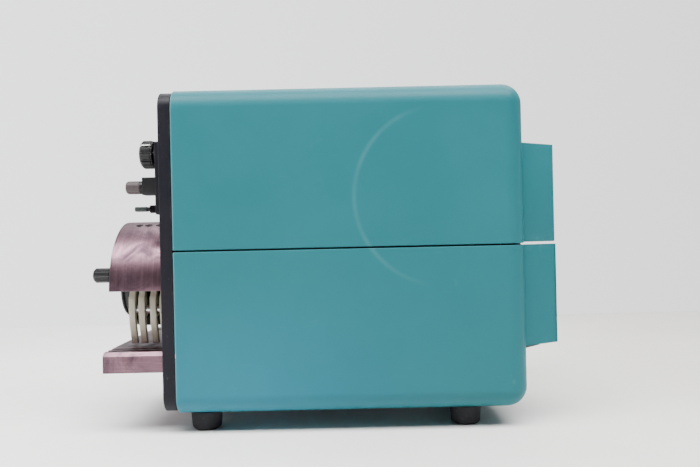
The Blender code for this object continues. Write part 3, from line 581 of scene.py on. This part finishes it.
def soften(piece, width, segments=2, angle=40):
    """Small rounded edges wherever two faces meet at more than the angle, with even shading."""
    edges = piece.modifiers.new("edges", "BEVEL")
    edges.width = width * MM
    edges.segments = segments
    edges.limit_method = "ANGLE"
    edges.angle_limit = math.radians(angle)
    edges.miter_outer = "MITER_ARC"
    shading = piece.modifiers.new("shading", "WEIGHTED_NORMAL")
    shading.keep_sharp = True
    return piece


def gathered(name, meshes):
    """Several meshes as one."""
    bm = bmesh.new()
    for mesh in meshes:
        bm.from_mesh(mesh)
    joined = bpy.data.meshes.new(name)
    bm.to_mesh(joined)
    bm.free()
    return joined


# ---------------------------------------------------------------- case

def on_rear_wall(face):
    return all(abs(v.co.y - CASE_REAR) < 0.01 for v in face.verts)


def vent_slots():
    """Half width, bottom and top of each slot in the upper half of the rear wall."""
    return [(30.0, 146.0 + 7.0 * i, 148.6 + 7.0 * i) for i in range(6)]


def shell(name, node, top):
    """One enamelled tub: rounded outside and in, open at the front, with the rear opening."""
    bm = cube((-CASE_HALF, CASE_FRONT, CASE_BOTTOM), (CASE_HALF, CASE_REAR, CASE_TOP), CASE_EDGE, 12,
              keep=lambda e: all(abs(v.co.y - CASE_FRONT) < 0.01 for v in e.verts))
    front = [f for f in bm.faces if all(abs(v.co.y - CASE_FRONT) < 0.01 for v in f.verts)]
    bmesh.ops.delete(bm, geom=front, context="FACES")
    sign = 1 if top else -1
    everything = bm.verts[:] + bm.edges[:] + bm.faces[:]
    bmesh.ops.bisect_plane(bm, geom=everything, plane_co=(0, 0, SEAM + sign * SEAM_GAP / 2),
                           plane_no=(0, 0, sign), clear_inner=True)
    openings = vent_slots() if top else [(BOX_HIGH.x - FLANGE_MARGIN, BOX_LOW.z + FLANGE_MARGIN,
                                          BOX_HIGH.z - FLANGE_MARGIN)]
    for half, low, high in openings:
        for spot, normal in (((half, 0, 0), (1, 0, 0)), ((-half, 0, 0), (1, 0, 0)),
                             ((0, 0, low), (0, 0, 1)), ((0, 0, high), (0, 0, 1))):
            rear = [f for f in bm.faces if on_rear_wall(f)]
            parts = set(rear) | {e for f in rear for e in f.edges} | {v for f in rear for v in f.verts}
            bmesh.ops.bisect_plane(bm, geom=list(parts), plane_co=spot, plane_no=normal)
    for half, low, high in openings:
        inside = [f for f in bm.faces if on_rear_wall(f) and abs(f.calc_center_median().x) < half
                  and low < f.calc_center_median().z < high]
        bmesh.ops.delete(bm, geom=inside, context="FACES")
    piece = shown(name, mesh_of(bm, name), "housing", "teal_enamel", (node,))
    wall = piece.modifiers.new("wall", "SOLIDIFY")
    wall.thickness = WALL * MM
    wall.offset = -1
    wall.use_even_offset = True
    return soften(piece, 0.6, 3, angle=50)


def wing(name, side, top):
    """One guard wing: a plate that leans inwards as it runs back from the rear wall."""
    rear = corners("upper_shell" if top else "lower_shell")[1].y
    root_x, tip_x = 60.0, 52.0
    tall = (70.2, 69.0)
    sign = 1 if top else -1
    bm = bmesh.new()
    bmesh.ops.create_cube(bm, size=1.0)
    for vert in bm.verts:
        at_rear, outside, far = vert.co.y > 0, vert.co.x > 0, vert.co.z > 0
        x = (tip_x if at_rear else root_x) - (0 if outside else WING_WALL)
        y = rear if at_rear else CASE_REAR - WALL / 2
        vert.co = (side * x, y, SEAM + sign * (tall[at_rear] if far else SEAM_GAP))
    bmesh.ops.bevel(bm, geom=bm.edges[:], offset=0.6, segments=3, profile=0.5, affect="EDGES")
    return shown(name, mesh_of(bm, name), "housing", "teal_enamel")


def seam_lip_painted_shade():
    """The step inside the seam, along both sides, that locates the upper tub; it is coloured black as
    painted shade, so the seam gap shows as a dark line.
    """
    outside = CASE_HALF - WALL - 0.3
    for side, word in ((-1, "left"), (1, "right")):
        near, far = sorted((side * outside, side * (outside - 1.5)))
        mesh = block("lip", (near, CASE_FRONT + 1, SEAM - 4), (far, CASE_REAR - 18, SEAM + 2.5), 0.3, 2)
        # painted shade: the lip takes the black panel finish so that the seam gap reads dark
        shown("seam_lip_painted_shade_" + word, mesh, "housing", "black_panel")


def feet():
    """Tapered rubber feet with a rounded heel, a washer recess and the screw inside it."""
    for node in ("foot_front_left", "foot_front_right", "foot_rear_left", "foot_rear_right"):
        low, high = corners(node)
        centre = ((low.x + high.x) / 2, (low.y + high.y) / 2, 0)
        top = (high.x - low.x) / 2
        heel, ground = top - 1.1, low.z
        profile = rounded([(0, high.z), (top, high.z), (top, high.z - 0.8), (heel + 0.2, ground + 1.6),
                           (heel - 1.6, ground), (4.6, ground), (4.4, ground + 4.0), (0, ground + 4.0)], 1.0)
        shown(node + "_rubber", lathe(node, profile, centre, "up"), "housing", "black_rubber", (node,))
        head = rounded([(0, 1.4), (2.9, 1.4), (3.1, 2.2), (3.1, 3.9), (0, 3.9)], 0.5)
        screw = lathe(node + "_screw", [(r, -ground - z) for r, z in head], centre, "down", 48)
        recess = cross_recess((*centre[:2], ground + 1.2), "Z", 2.2)
        shown(node + "_screw", carved(screw, recess), "housing", "zinc_plate")


def cross_recess(centre, axis, length, width=0.7, depth=1.0):
    """A cross-shaped cutter for a screw head that lies across the given axis."""
    sizes = {"X": ((depth, length, width), (depth, width, length)),
             "Y": ((length, depth, width), (width, depth, length)),
             "Z": ((length, width, depth), (width, length, depth))}[axis]
    centre = Vector(centre)
    arms = [block("recess", centre - Vector(s), centre + Vector(s)) for s in
            [tuple(v / 2 for v in size) for size in sizes]]
    return carved(arms[0], arms[1], operation="UNION")


def case():
    shell("upper_shell_skin", "upper_shell", True)
    shell("lower_shell_skin", "lower_shell", False)
    for side, word in ((-1, "left"), (1, "right")):
        wing("upper_wing_" + word, side, True)
        wing("lower_wing_" + word, side, False)
    seam_lip_painted_shade()
    feet()


# ---------------------------------------------------------------- front panel and controls

def front_panel():
    rim = round_rectangle((PANEL_LOW.x, PANEL_LOW.z), (PANEL_HIGH.x, PANEL_HIGH.z), PANEL_CORNER)
    holes = [circle((KNOB.x, KNOB.z), NUT_BORE), circle((BUTTON.x, BUTTON.z), 5.8),
             circle((TOGGLE.x, TOGGLE.z), 3.2),
             circle((HEAD.x, HEAD.z), 15.3), circle((ROD.x, ROD.z), 3.75), circle((HINGE.x, HINGE.z), 2.8)]
    mesh = slab("front_panel_plate", [rim] + holes, PANEL_LOW.y, PANEL_HIGH.y, 0.7, 3)
    shown("front_panel_plate", mesh, "housing", "black_panel", ("front_panel",))
    strip = round_rectangle((STRIP_LOW.x, STRIP_LOW.z), (STRIP_HIGH.x, STRIP_HIGH.z), 0.8, 4)
    mesh = slab("control_strip", [strip] + holes[:3], STRIP_LOW.y, STRIP_HIGH.y, 0.5, 2)
    shown("control_strip", mesh, "housing", "black_panel", ("control_plate",))
    panel_screws()


def panel_screws():
    """Countersunk screws that hold the panel to the chassis."""
    meshes = []
    for x in (PANEL_LOW.x + 12, PANEL_HIGH.x - 12):
        for z in (PANEL_LOW.z + 12, PANEL_HIGH.z - 12):
            head = rounded([(0, 0.25), (2.6, 0.12), (3.1, -0.1), (3.1, -0.6), (0, -0.6)], 0.2)
            mesh = lathe("screw", head, (x, PANEL_LOW.y, z), "front", 40)
            meshes.append(carved(mesh, cross_recess((x, PANEL_LOW.y - 0.4, z), "Y", 2.6, 0.7, 1.0)))
    shown("panel_screws", gathered("panel_screws", meshes), "housing", "zinc_plate")


def turn_round_knob(mesh, turn):
    """Carries a mesh made about the datum to the knob, turned about the knob's own axis."""
    raised = Vector((0, 0, FOOT_DROP * MM))
    spot = Vector((KNOB.x, 0, KNOB.z)) * MM + raised
    mesh.transform(Matrix.Translation(spot) @ Matrix.Rotation(turn, 4, "Y") @ Matrix.Translation(-raised))


def speed_knob():
    """Fluted knob with a chamfered face and a white pointer line along its side and face."""
    low, high = corners("speed_knob")
    length = high.y - low.y
    outer = (high.x - low.x) / 2
    flute_count = 12

    def flutes(angle, radius):
        share = max(0.0, (radius - outer * 0.8) / (outer * 0.2))
        return radius - 1.05 * share * max(0.0, math.cos(flute_count * angle)) ** 0.7

    profile = rounded([(0, length), (outer * 0.74, length), (outer * 0.82, length - 0.25),
                       (outer, length - 1.9), (outer, 1.2), (outer * 0.965, 0.9), (outer * 0.965, 0),
                       (3.3, 0), (3.3, length - 4),
                       (0, length - 4)], 0.35)
    mesh = lathe("speed_knob_body", profile, (KNOB.x, high.y, KNOB.z), "front", 144, flutes)
    shown("speed_knob_body", mesh, "speed_knob", "black_plastic", ("speed_knob",), smooth=28)
    pointer = math.radians(38 - 90)
    bm = cube((-0.42, low.y - 0.12, 1.6), (0.42, low.y + 0.3, outer * 0.80), 0.08, 2)
    side = cube((-0.42, low.y + 2.1, outer - 0.5), (0.42, high.y - 0.9, outer + 0.06), 0.08, 2)
    slope = cube((-0.42, -1.35, -0.2), (0.42, 1.35, 0.1), 0.08, 2)
    tilt = Matrix.Translation((0, low.y + 1.05, outer * 0.905)) @ Matrix.Rotation(math.radians(43), 4, "X")
    bmesh.ops.transform(slope, matrix=tilt, verts=slope.verts)
    meshes = [mesh_of(each, "pointer") for each in (bm, side, slope)]
    line = gathered("speed_knob_pointer", meshes)
    turn_round_knob(line, -pointer)
    shown("speed_knob_pointer", line, "speed_knob", "black_plastic", material="white_paint")


def potentiometer_nut():
    """Hexagon nut and a thin washer under the knob."""
    low, high = corners("potentiometer_nut")
    centre = (KNOB.x, KNOB.z)
    hexagon = arc(centre, (high.x - low.x) / 2, 0, 300, 5)
    nut = slab("nut", [hexagon, circle(centre, NUT_BORE)], low.y, high.y - 0.5, 0.25)
    washer = slab("washer", [circle(centre, 6.8), circle(centre, NUT_BORE)], high.y - 0.45, high.y, 0.1)
    shown("knob_nut", gathered("knob_nut", [nut, washer]), "housing", "zinc_plate", ("potentiometer_nut",),
          "blackened")


def dial_marks():
    """Plain division marks round the knob."""
    low, high = corners("speed_knob")
    outer = (high.x - low.x) / 2
    meshes = []
    for i in range(11):
        tall = 1.3 if i % 5 == 0 else 0.8
        start = outer + 0.35
        mesh = block("mark", (-0.16, STRIP_LOW.y - 0.05, start), (0.16, STRIP_LOW.y + 0.2, start + tall))
        turn = math.radians(-135 + 27 * i)
        turn_round_knob(mesh, turn)
        meshes.append(mesh)
    shown("dial_marks", gathered("dial_marks", meshes), "housing", "black_panel", material="white_paint")


def push_switch():
    """Square housing with a crisp rim round its mouth, and the sprung button."""
    low, high = corners("button_housing")
    centre = (BUTTON.x, 0, BUTTON.z)
    mouth = circle((BUTTON.x, BUTTON.z), 4.85)
    square = round_rectangle((low.x, low.z), (high.x, high.z), 0.8, 5)
    body = slab("body", [square, mouth], low.y, STRIP_LOW.y - 0.3, 0.35)
    sleeve = slab("sleeve", [circle((BUTTON.x, BUTTON.z), 5.5), mouth], STRIP_LOW.y - 0.29, high.y, 0.2)
    shown("button_housing_body", gathered("button_housing_body", [body, sleeve]), "housing", "black_plastic",
          ("button_housing",))
    low, high = corners("push_button")
    radius = (high.x - low.x) / 2
    front = -low.y
    cap = rounded([(0, front), (radius - 1.2, front), (radius - 0.2, front - 0.9), (radius, front - 2.4),
                   (radius, front - 9.7), (radius - 0.3, front - 9.9), (radius - 0.35, front - 20),
                   (0, front - 20)], 0.9, 6)
    shown("push_button_cap", lathe("cap", cap, centre), "push_button", "grey_cap")
    collar = rounded([(radius - 0.28, front - 9.95), (radius - 0.05, front - 10.1),
                      (radius - 0.05, front - 14), (radius - 0.28, front - 14)], 0.1)
    stem = [(0, front - 20.2), (radius - 0.4, front - 20.2), (radius - 0.4, -high.y), (0, -high.y)]
    turned = [lathe("collar", collar, centre), lathe("stem", stem, centre)]
    shown("push_button_stem", gathered("stem", turned), "push_button", "black_plastic", ("push_button",))


def toggle_switch():
    """Dark threaded bushing with a ring nut, a tapered lever and a flattened tip."""
    low, high = corners("toggle_body")
    centre = (TOGGLE.x, 0, TOGGLE.z)
    front, strip = -low.y, -STRIP_LOW.y
    thread = [(2.45, front)]
    turns = 9
    pitch = (front - strip - 0.4) / turns
    for i in range(turns):
        top = front - 0.2 - i * pitch
        thread += [(2.62, top), (2.88, top - pitch / 2)]
    thread += [(2.7, strip + 0.1), (2.45, strip + 0.1), (2.35, front - 0.2)]
    hexagon = arc((TOGGLE.x, TOGGLE.z), 4.1, 30, 330, 5)
    nut = slab("nut", [hexagon, circle((TOGGLE.x, TOGGLE.z), 2.95)], -strip - 2.0, -strip - 0.1, 0.2)
    shown("toggle_bushing", gathered("toggle_bushing", [lathe("bushing", thread, centre, "front", 48), nut]),
          "housing", "zinc_plate", material="blackened")
    body = block("toggle_case", (TOGGLE.x - 6.5, CASE_FRONT, TOGGLE.z - 6.5),
                 (TOGGLE.x + 6.5, high.y, TOGGLE.z + 6.5), 0.5)
    shown("toggle_case", body, "housing", "black_plastic", ("toggle_body",))
    low, high = corners("toggle_lever")
    profile = rounded([(0, -low.y), (1.65, -low.y), (1.3, -high.y), (0, -high.y)], 0.3)
    shown("toggle_lever_arm", lathe("lever", profile, centre, "front", 40), "toggle_lever", "zinc_plate",
          ("toggle_lever",), material="blackened")
    low, high = corners("toggle_tip")
    mesh = block("toggle_tip_sleeve", low, (high.x, high.y + 2.4, high.z), 0.75, 4)
    shown("toggle_tip_sleeve", mesh, "toggle_lever", "black_plastic", ("toggle_tip",), material="tip_grey")


def controls():
    speed_knob()
    potentiometer_nut()
    dial_marks()
    push_switch()
    toggle_switch()


# ---------------------------------------------------------------- pump head

def pump_cover():
    """Half-ring with soft edges, the two axial bores and the four adjuster bores."""
    half = math.degrees(math.asin((COVER_LOW.z - HEAD.z) / COVER_OUTER))
    inner_half = math.degrees(math.asin((COVER_LOW.z - HEAD.z) / COVER_INNER))
    centre = (HEAD.x, HEAD.z)
    rim = (arc(centre, COVER_OUTER, half, 180 - half, 120)
           + arc(centre, COVER_INNER, 180 - inner_half, inner_half, 96))
    mesh = slab("pump_cover_ring", [rim], COVER_LOW.y, COVER_HIGH.y, 0.5, 3)
    tools = [drill(COVER_BORE, (HINGE.x, -147.9, HINGE.z), (HINGE.x, -90, HINGE.z)),
             drill(COVER_BORE, (THUMB.x, -170, THUMB.z), (THUMB.x, -90, THUMB.z))]
    for i in range(4):
        low, high = corners(f"adjusting_screw_{i + 1}")
        end = (low + high) / 2
        outward = Vector((end.x - HEAD.x, 0, end.z - HEAD.z)).normalized()
        axis = Vector((HEAD.x, end.y, HEAD.z))
        tools.append(drill(COVER_BORE, axis + outward * 30, axis + outward * 60))
    mesh = carved(mesh, *tools)
    shown("pump_cover_ring", mesh, "cover", "mauve_anodised", ("pump_cover",), smooth=30)


def cover_hardware():
    """Hinge pin and the fluted thumb screw."""
    low, high = corners("cover_hinge_pin")
    radius = (high.x - low.x) / 2
    profile = rounded([(0, -low.y), (radius, -low.y), (radius, -high.y), (0, -high.y)], 0.3)
    mesh = lathe("pin", profile, (HINGE.x, 0, HINGE.z), "front", 48)
    shown("hinge_pin", mesh, "housing", "steel", ("cover_hinge_pin",))
    low, high = corners("thumb_screw")
    radius = (high.x - low.x) / 2
    count = 10

    def flutes(angle, r):
        share = max(0.0, (r - radius * 0.8) / (radius * 0.2))
        return r - 0.45 * share * max(0.0, math.cos(count * angle))

    front, back = -low.y, -COVER_LOW.y + 0.5
    profile = rounded([(0, front), (radius * 0.72, front), (radius, front - 1.4), (radius, back + 0.5),
                       (radius - 0.4, back), (2.5, back), (2.5, -high.y), (0, -high.y)], 0.4)
    mesh = lathe("thumb_knob", profile, (THUMB.x, 0, THUMB.z), "front", 120, flutes)
    shown("thumb_knob", mesh, "thumb_screw", "black_plastic", ("thumb_screw",), smooth=28)


def cams():
    """Ivory levers with rounded edges, on one steel rod."""
    for i in range(4):
        node = f"occlusion_cam_{i + 1}"
        low, high = corners(node)
        shown(node + "_lever", cam_mesh(low, high), f"cam_{i + 1}", "ivory_plastic", (node,), smooth=30)
    low, high = corners("cam_pivot_rod")
    radius = (high.x - low.x) / 2
    profile = rounded([(0, -low.y), (radius - 0.4, -low.y), (radius, -low.y - 0.4), (radius, -high.y),
                       (0, -high.y)], 0.2)
    mesh = lathe("rod", profile, (ROD.x, 0, ROD.z), "front", 64)
    shown("pivot_rod", mesh, "housing", "steel", ("cam_pivot_rod",))


def cam_mesh(low, high):
    """An arc over the rotor, a boss round the rod and a thin tail that leans back."""
    centre = (HEAD.x, HEAD.z)
    waist = -math.degrees(math.asin((HEAD.z - CAM_WAIST_Z) / CAM_INNER))
    tip = math.radians(CAM_TIP_ANGLE)
    mid = (CAM_INNER + CAM_OUTER) / 2
    nose_centre = (mid * math.cos(tip), HEAD.z + mid * math.sin(tip))
    nose = arc(nose_centre, (CAM_OUTER - CAM_INNER) / 2, CAM_TIP_ANGLE, CAM_TIP_ANGLE + 180, 10)
    boss = arc((ROD.x, ROD.z), CAM_BOSS, 190, 285, 16)
    tail = [(35.6, 71.0), (31.0, low.z + 0.5), (32.2, low.z + 0.05), (34.4, low.z + 0.05),
            (35.2, low.z + 0.8), (39.4, 70.0), (40.5, 78.0), (40.5, 87.0), (40.0, 89.0), (38.6, 90.6)]
    back = arc(centre, CAM_OUTER, 2, CAM_TIP_ANGLE, 60)[:-1]
    front = arc(centre, CAM_INNER, CAM_TIP_ANGLE, waist, 60)[1:]
    rim = back + nose + front + boss + tail
    return slab("cam", [rim, circle((ROD.x, ROD.z), CAM_BORE)], low.y, high.y, 0.3, 2)


def rotor_cap():
    """Front cap of the rotor: two turned ridges and a shallow dished face."""
    low, high = corners("rotor_front_cap")
    radius = (high.x - low.x) / 2
    front, back = -low.y, -high.y
    profile = rounded([(0, front - 0.8), (9.0, front - 0.8), (10.0, front), (radius - 3.0, front),
                       (radius - 0.9, front - 0.7), (radius - 0.5, front - 2.1), (radius - 1.6, front - 3.3),
                       (radius, front - 4.5), (radius, back), (0, back)], 0.5)
    shown("rotor_cap", lathe("cap", profile, (HEAD.x, 0, HEAD.z), "front", 128), "rotor", "black_plastic",
          ("rotor_front_cap",), smooth=40)


def rollers():
    """Eight bars with a short, thinner axle end at each side."""
    for i in range(8):
        node = f"roller_{i + 1}"
        low, high = corners(node)
        centre = ((low.x + high.x) / 2, 0, (low.z + high.z) / 2)
        radius = (high.x - low.x) / 2
        front, back = -low.y, -high.y
        profile = rounded([(0, front), (1.5, front), (1.5, front - 1.9), (radius - 0.3, front - 1.9),
                           (radius, front - 2.3), (radius, back + 2.3), (radius - 0.3, back + 1.9),
                           (1.5, back + 1.9), (1.5, back), (0, back)], 0.15)
        shown(node + "_bar", lathe("roller", profile, centre, "front", 48), node, "black_plastic", (node,))


def rotor_core():
    """The hub between two flanges that carry the roller axles."""
    low, high = corners("rotor_core")
    radius = (high.x - low.x) / 2
    profile = rounded([(HUB_BORE, -low.y), (radius, -low.y), (radius, -high.y), (HUB_BORE, -high.y),
                       (HUB_BORE, -low.y)], 0.3)
    mesh = lathe("hub", profile[:-1], (HEAD.x, 0, HEAD.z))
    shown("rotor_hub", mesh, "rotor", "black_plastic", ("rotor_core",))
    places = [middle(f"roller_{i + 1}") for i in range(8)]
    for node in ("rotor_front_flange", "rotor_rear_flange"):
        low, high = corners(node)
        centre = (HEAD.x, HEAD.z)
        outlines = [circle(centre, (high.x - low.x) / 2, 128), circle(centre, HUB_BORE)] + [
            circle((p.x, p.z), 1.8, 24) for p in places]
        shown(node + "_disc", slab(node, outlines, low.y, high.y, 0.3), "rotor", "black_plastic", (node,))


def tube_plate():
    """Thick milled plate with a broad chamfer along each side and the clip grooves."""
    top, bottom, half = PLATE_HIGH.z, PLATE_LOW.z, PLATE_HIGH.x
    right = [(half, bottom), (half, top - PLATE_CHAMFER), (half - PLATE_CHAMFER, top)]
    for outer, inner in GROOVES:
        right += [(outer, top), (outer, top - GROOVE_DEPTH), (inner, top - GROOVE_DEPTH), (inner, top)]
    left = [(-x, z) for x, z in reversed(right)]
    mesh = slab("tube_plate_bar", [right + left], PLATE_LOW.y, PLATE_HIGH.y, 0.35, 2)
    shown("tube_plate_bar", mesh, "housing", "mauve_anodised", ("tube_plate",), material="mauve_milled",
          smooth=30)


def pump_head():
    pump_cover()
    cover_hardware()
    cams()
    rotor_cap()
    rotor_core()
    rollers()
    tube_plate()


# ---------------------------------------------------------------- CAD nodes that are shown as they are

NODE_SLOTS = {
    "dark_grey_sheet": ("rear_connector_box", "drive_motor", "transformer_core"),
    "black_plastic": ("power_inlet", "fuse_holder", "fuse_cap"),
    "steel": ("bearing_housing", "front_bearing", "rear_bearing", "rotor_shaft", "motor_shaft",
              "motor_pinion", "potentiometer_shaft", "adjusting_screw_1", "adjusting_screw_2",
              "adjusting_screw_3", "adjusting_screw_4"),
    "zinc_plate": ("chassis_tray", "motor_bracket", "speed_potentiometer", "remote_socket"),
    "brass": ("drive_gear",),
    "circuit_board": ("circuit_board",),
    "winding_tape": ("transformer_coil",),
}


def carried_nodes():
    """Welds, softens and paints the CAD nodes that stay in view."""
    for slot, nodes in NODE_SLOTS.items():
        for name in nodes:
            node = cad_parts[name]
            node.data.materials.clear()
            node.data.materials.append(MATERIALS["blackened" if name.startswith("adjusting") else slot])
            node.data.shade_smooth()
            weld = node.modifiers.new("weld", "WELD")
            weld.merge_threshold = 0.00001
            flat = node.modifiers.new("flat", "DECIMATE")
            flat.decimate_type = "DISSOLVE"
            flat.angle_limit = math.radians(1.0)
            soften(node, 0.25, 2, angle=32)


# ---------------------------------------------------------------- camera, floor and light

def camera():
    """Level side view from the operator's right, at half the height of the case."""
    data = bpy.data.cameras.new("camera")
    data.lens = 36.0
    data.sensor_width = 36.0
    made = bpy.data.objects.new("camera", data)
    roll = math.radians(1.25)
    right = Vector((0, math.cos(roll), -math.sin(roll)))
    up = Vector((0, math.sin(roll), math.cos(roll)))
    turn = Matrix((right, up, (1, 0, 0))).transposed().to_4x4()
    made.matrix_world = Matrix.Translation((0.544, 0.01975, 0.1345)) @ turn
    bpy.context.scene.collection.objects.link(made)
    bpy.context.scene.camera = made


def floor():
    """A pale bench top that ends a little behind the object."""
    bm = bmesh.new()
    for x, y in ((-0.48, -4.0), (3.0, -4.0), (3.0, 4.0), (-0.62, 4.0)):
        bm.verts.new((x, y, 0.0))
    bm.faces.new(bm.verts[:])
    bmesh.ops.recalc_face_normals(bm, faces=bm.faces)
    mesh = bpy.data.meshes.new("floor")
    bm.to_mesh(mesh)
    bm.free()
    g = Graph("bench_top", roughness=0.5)
    cloud = g.noise(5.0, 6.0, 0.65)
    speck = g.spread(g.noise(300.0, 4.0, 0.75), 0.60, 0.72, 0.0, 0.25)
    stone = g.mix(g.spread(cloud, 0.35, 0.65), (0.88, 0.87, 0.85), (0.95, 0.945, 0.93))
    stone = g.mix(speck, stone, (0.55, 0.53, 0.50))
    # painted shade: the bench top is darkened towards +Y, the side behind the rear of the case
    g.color(g.mix(g.spread(g.axis("Y"), -0.15, 0.35), stone, (0.70, 0.69, 0.665), "MULTIPLY"))
    mesh.materials.append(g.material)
    made = bpy.data.objects.new("floor", mesh)
    bpy.context.scene.collection.objects.link(made)


def area_light(name, place, target, size, power, tint=(1.0, 1.0, 1.0)):
    data = bpy.data.lights.new(name, "AREA")
    data.shape = "RECTANGLE"
    data.size, data.size_y = size
    data.energy = power
    data.color = tint
    made = bpy.data.objects.new(name, data)
    made.location = place
    made.rotation_euler = (Vector(target) - Vector(place)).to_track_quat("-Z", "Y").to_euler()
    bpy.context.scene.collection.objects.link(made)


def studio():
    """Soft ceiling light; the wall behind is bright and plain, the rest of the room is dimmer."""
    world = bpy.data.worlds.new("room")
    bpy.context.scene.world = world
    world.use_nodes = True
    nodes, links = world.node_tree.nodes, world.node_tree.links
    wall = nodes["Background"]
    place = nodes.new("ShaderNodeTexCoord")
    split = nodes.new("ShaderNodeSeparateXYZ")
    fade = nodes.new("ShaderNodeMapRange")
    fade.inputs["From Min"].default_value = -0.45
    fade.inputs["From Max"].default_value = 0.45
    tint = nodes.new("ShaderNodeMix")
    tint.data_type = "RGBA"
    tint.inputs[6].default_value = (*WALL_LEFT, 1.0)
    tint.inputs[7].default_value = (*WALL_RIGHT, 1.0)
    links.new(place.outputs["Generated"], split.inputs[0])
    links.new(split.outputs["Y"], fade.inputs["Value"])
    links.new(fade.outputs["Result"], tint.inputs["Factor"])
    links.new(tint.outputs[2], wall.inputs["Color"])
    room = nodes.new("ShaderNodeBackground")
    behind = nodes.new("ShaderNodeMapRange")
    behind.inputs["From Min"].default_value = -0.02
    behind.inputs["From Max"].default_value = -0.30
    surroundings = nodes.new("ShaderNodeMix")
    surroundings.data_type = "RGBA"
    surroundings.inputs[6].default_value = (*ROOM_LIGHT, 1.0)
    surroundings.inputs[7].default_value = (*WALL_GLOW, 1.0)
    links.new(split.outputs["X"], behind.inputs["Value"])
    links.new(behind.outputs["Result"], surroundings.inputs["Factor"])
    links.new(surroundings.outputs[2], room.inputs["Color"])
    seen = nodes.new("ShaderNodeLightPath")
    choice = nodes.new("ShaderNodeMixShader")
    links.new(seen.outputs["Is Camera Ray"], choice.inputs["Fac"])
    links.new(room.outputs["Background"], choice.inputs[1])
    links.new(wall.outputs["Background"], choice.inputs[2])
    links.new(choice.outputs["Shader"], nodes["World Output"].inputs["Surface"])
    area_light("ceiling_panel", (0.56, 0.0, 1.45), (0.30, 0.0, 0.1), (2.6, 0.70), 100)
    area_light("ceiling_rear", (-0.9, 0.3, 1.9), (0.0, 0.0, 0.1), (2.4, 1.2), 40)
    area_light("front_window", (-0.1, -1.8, 0.8), (0.0, -0.05, 0.12), (1.2, 1.0), 8)


case()
front_panel()
controls()
pump_head()
carried_nodes()
camera()
floor()
studio()
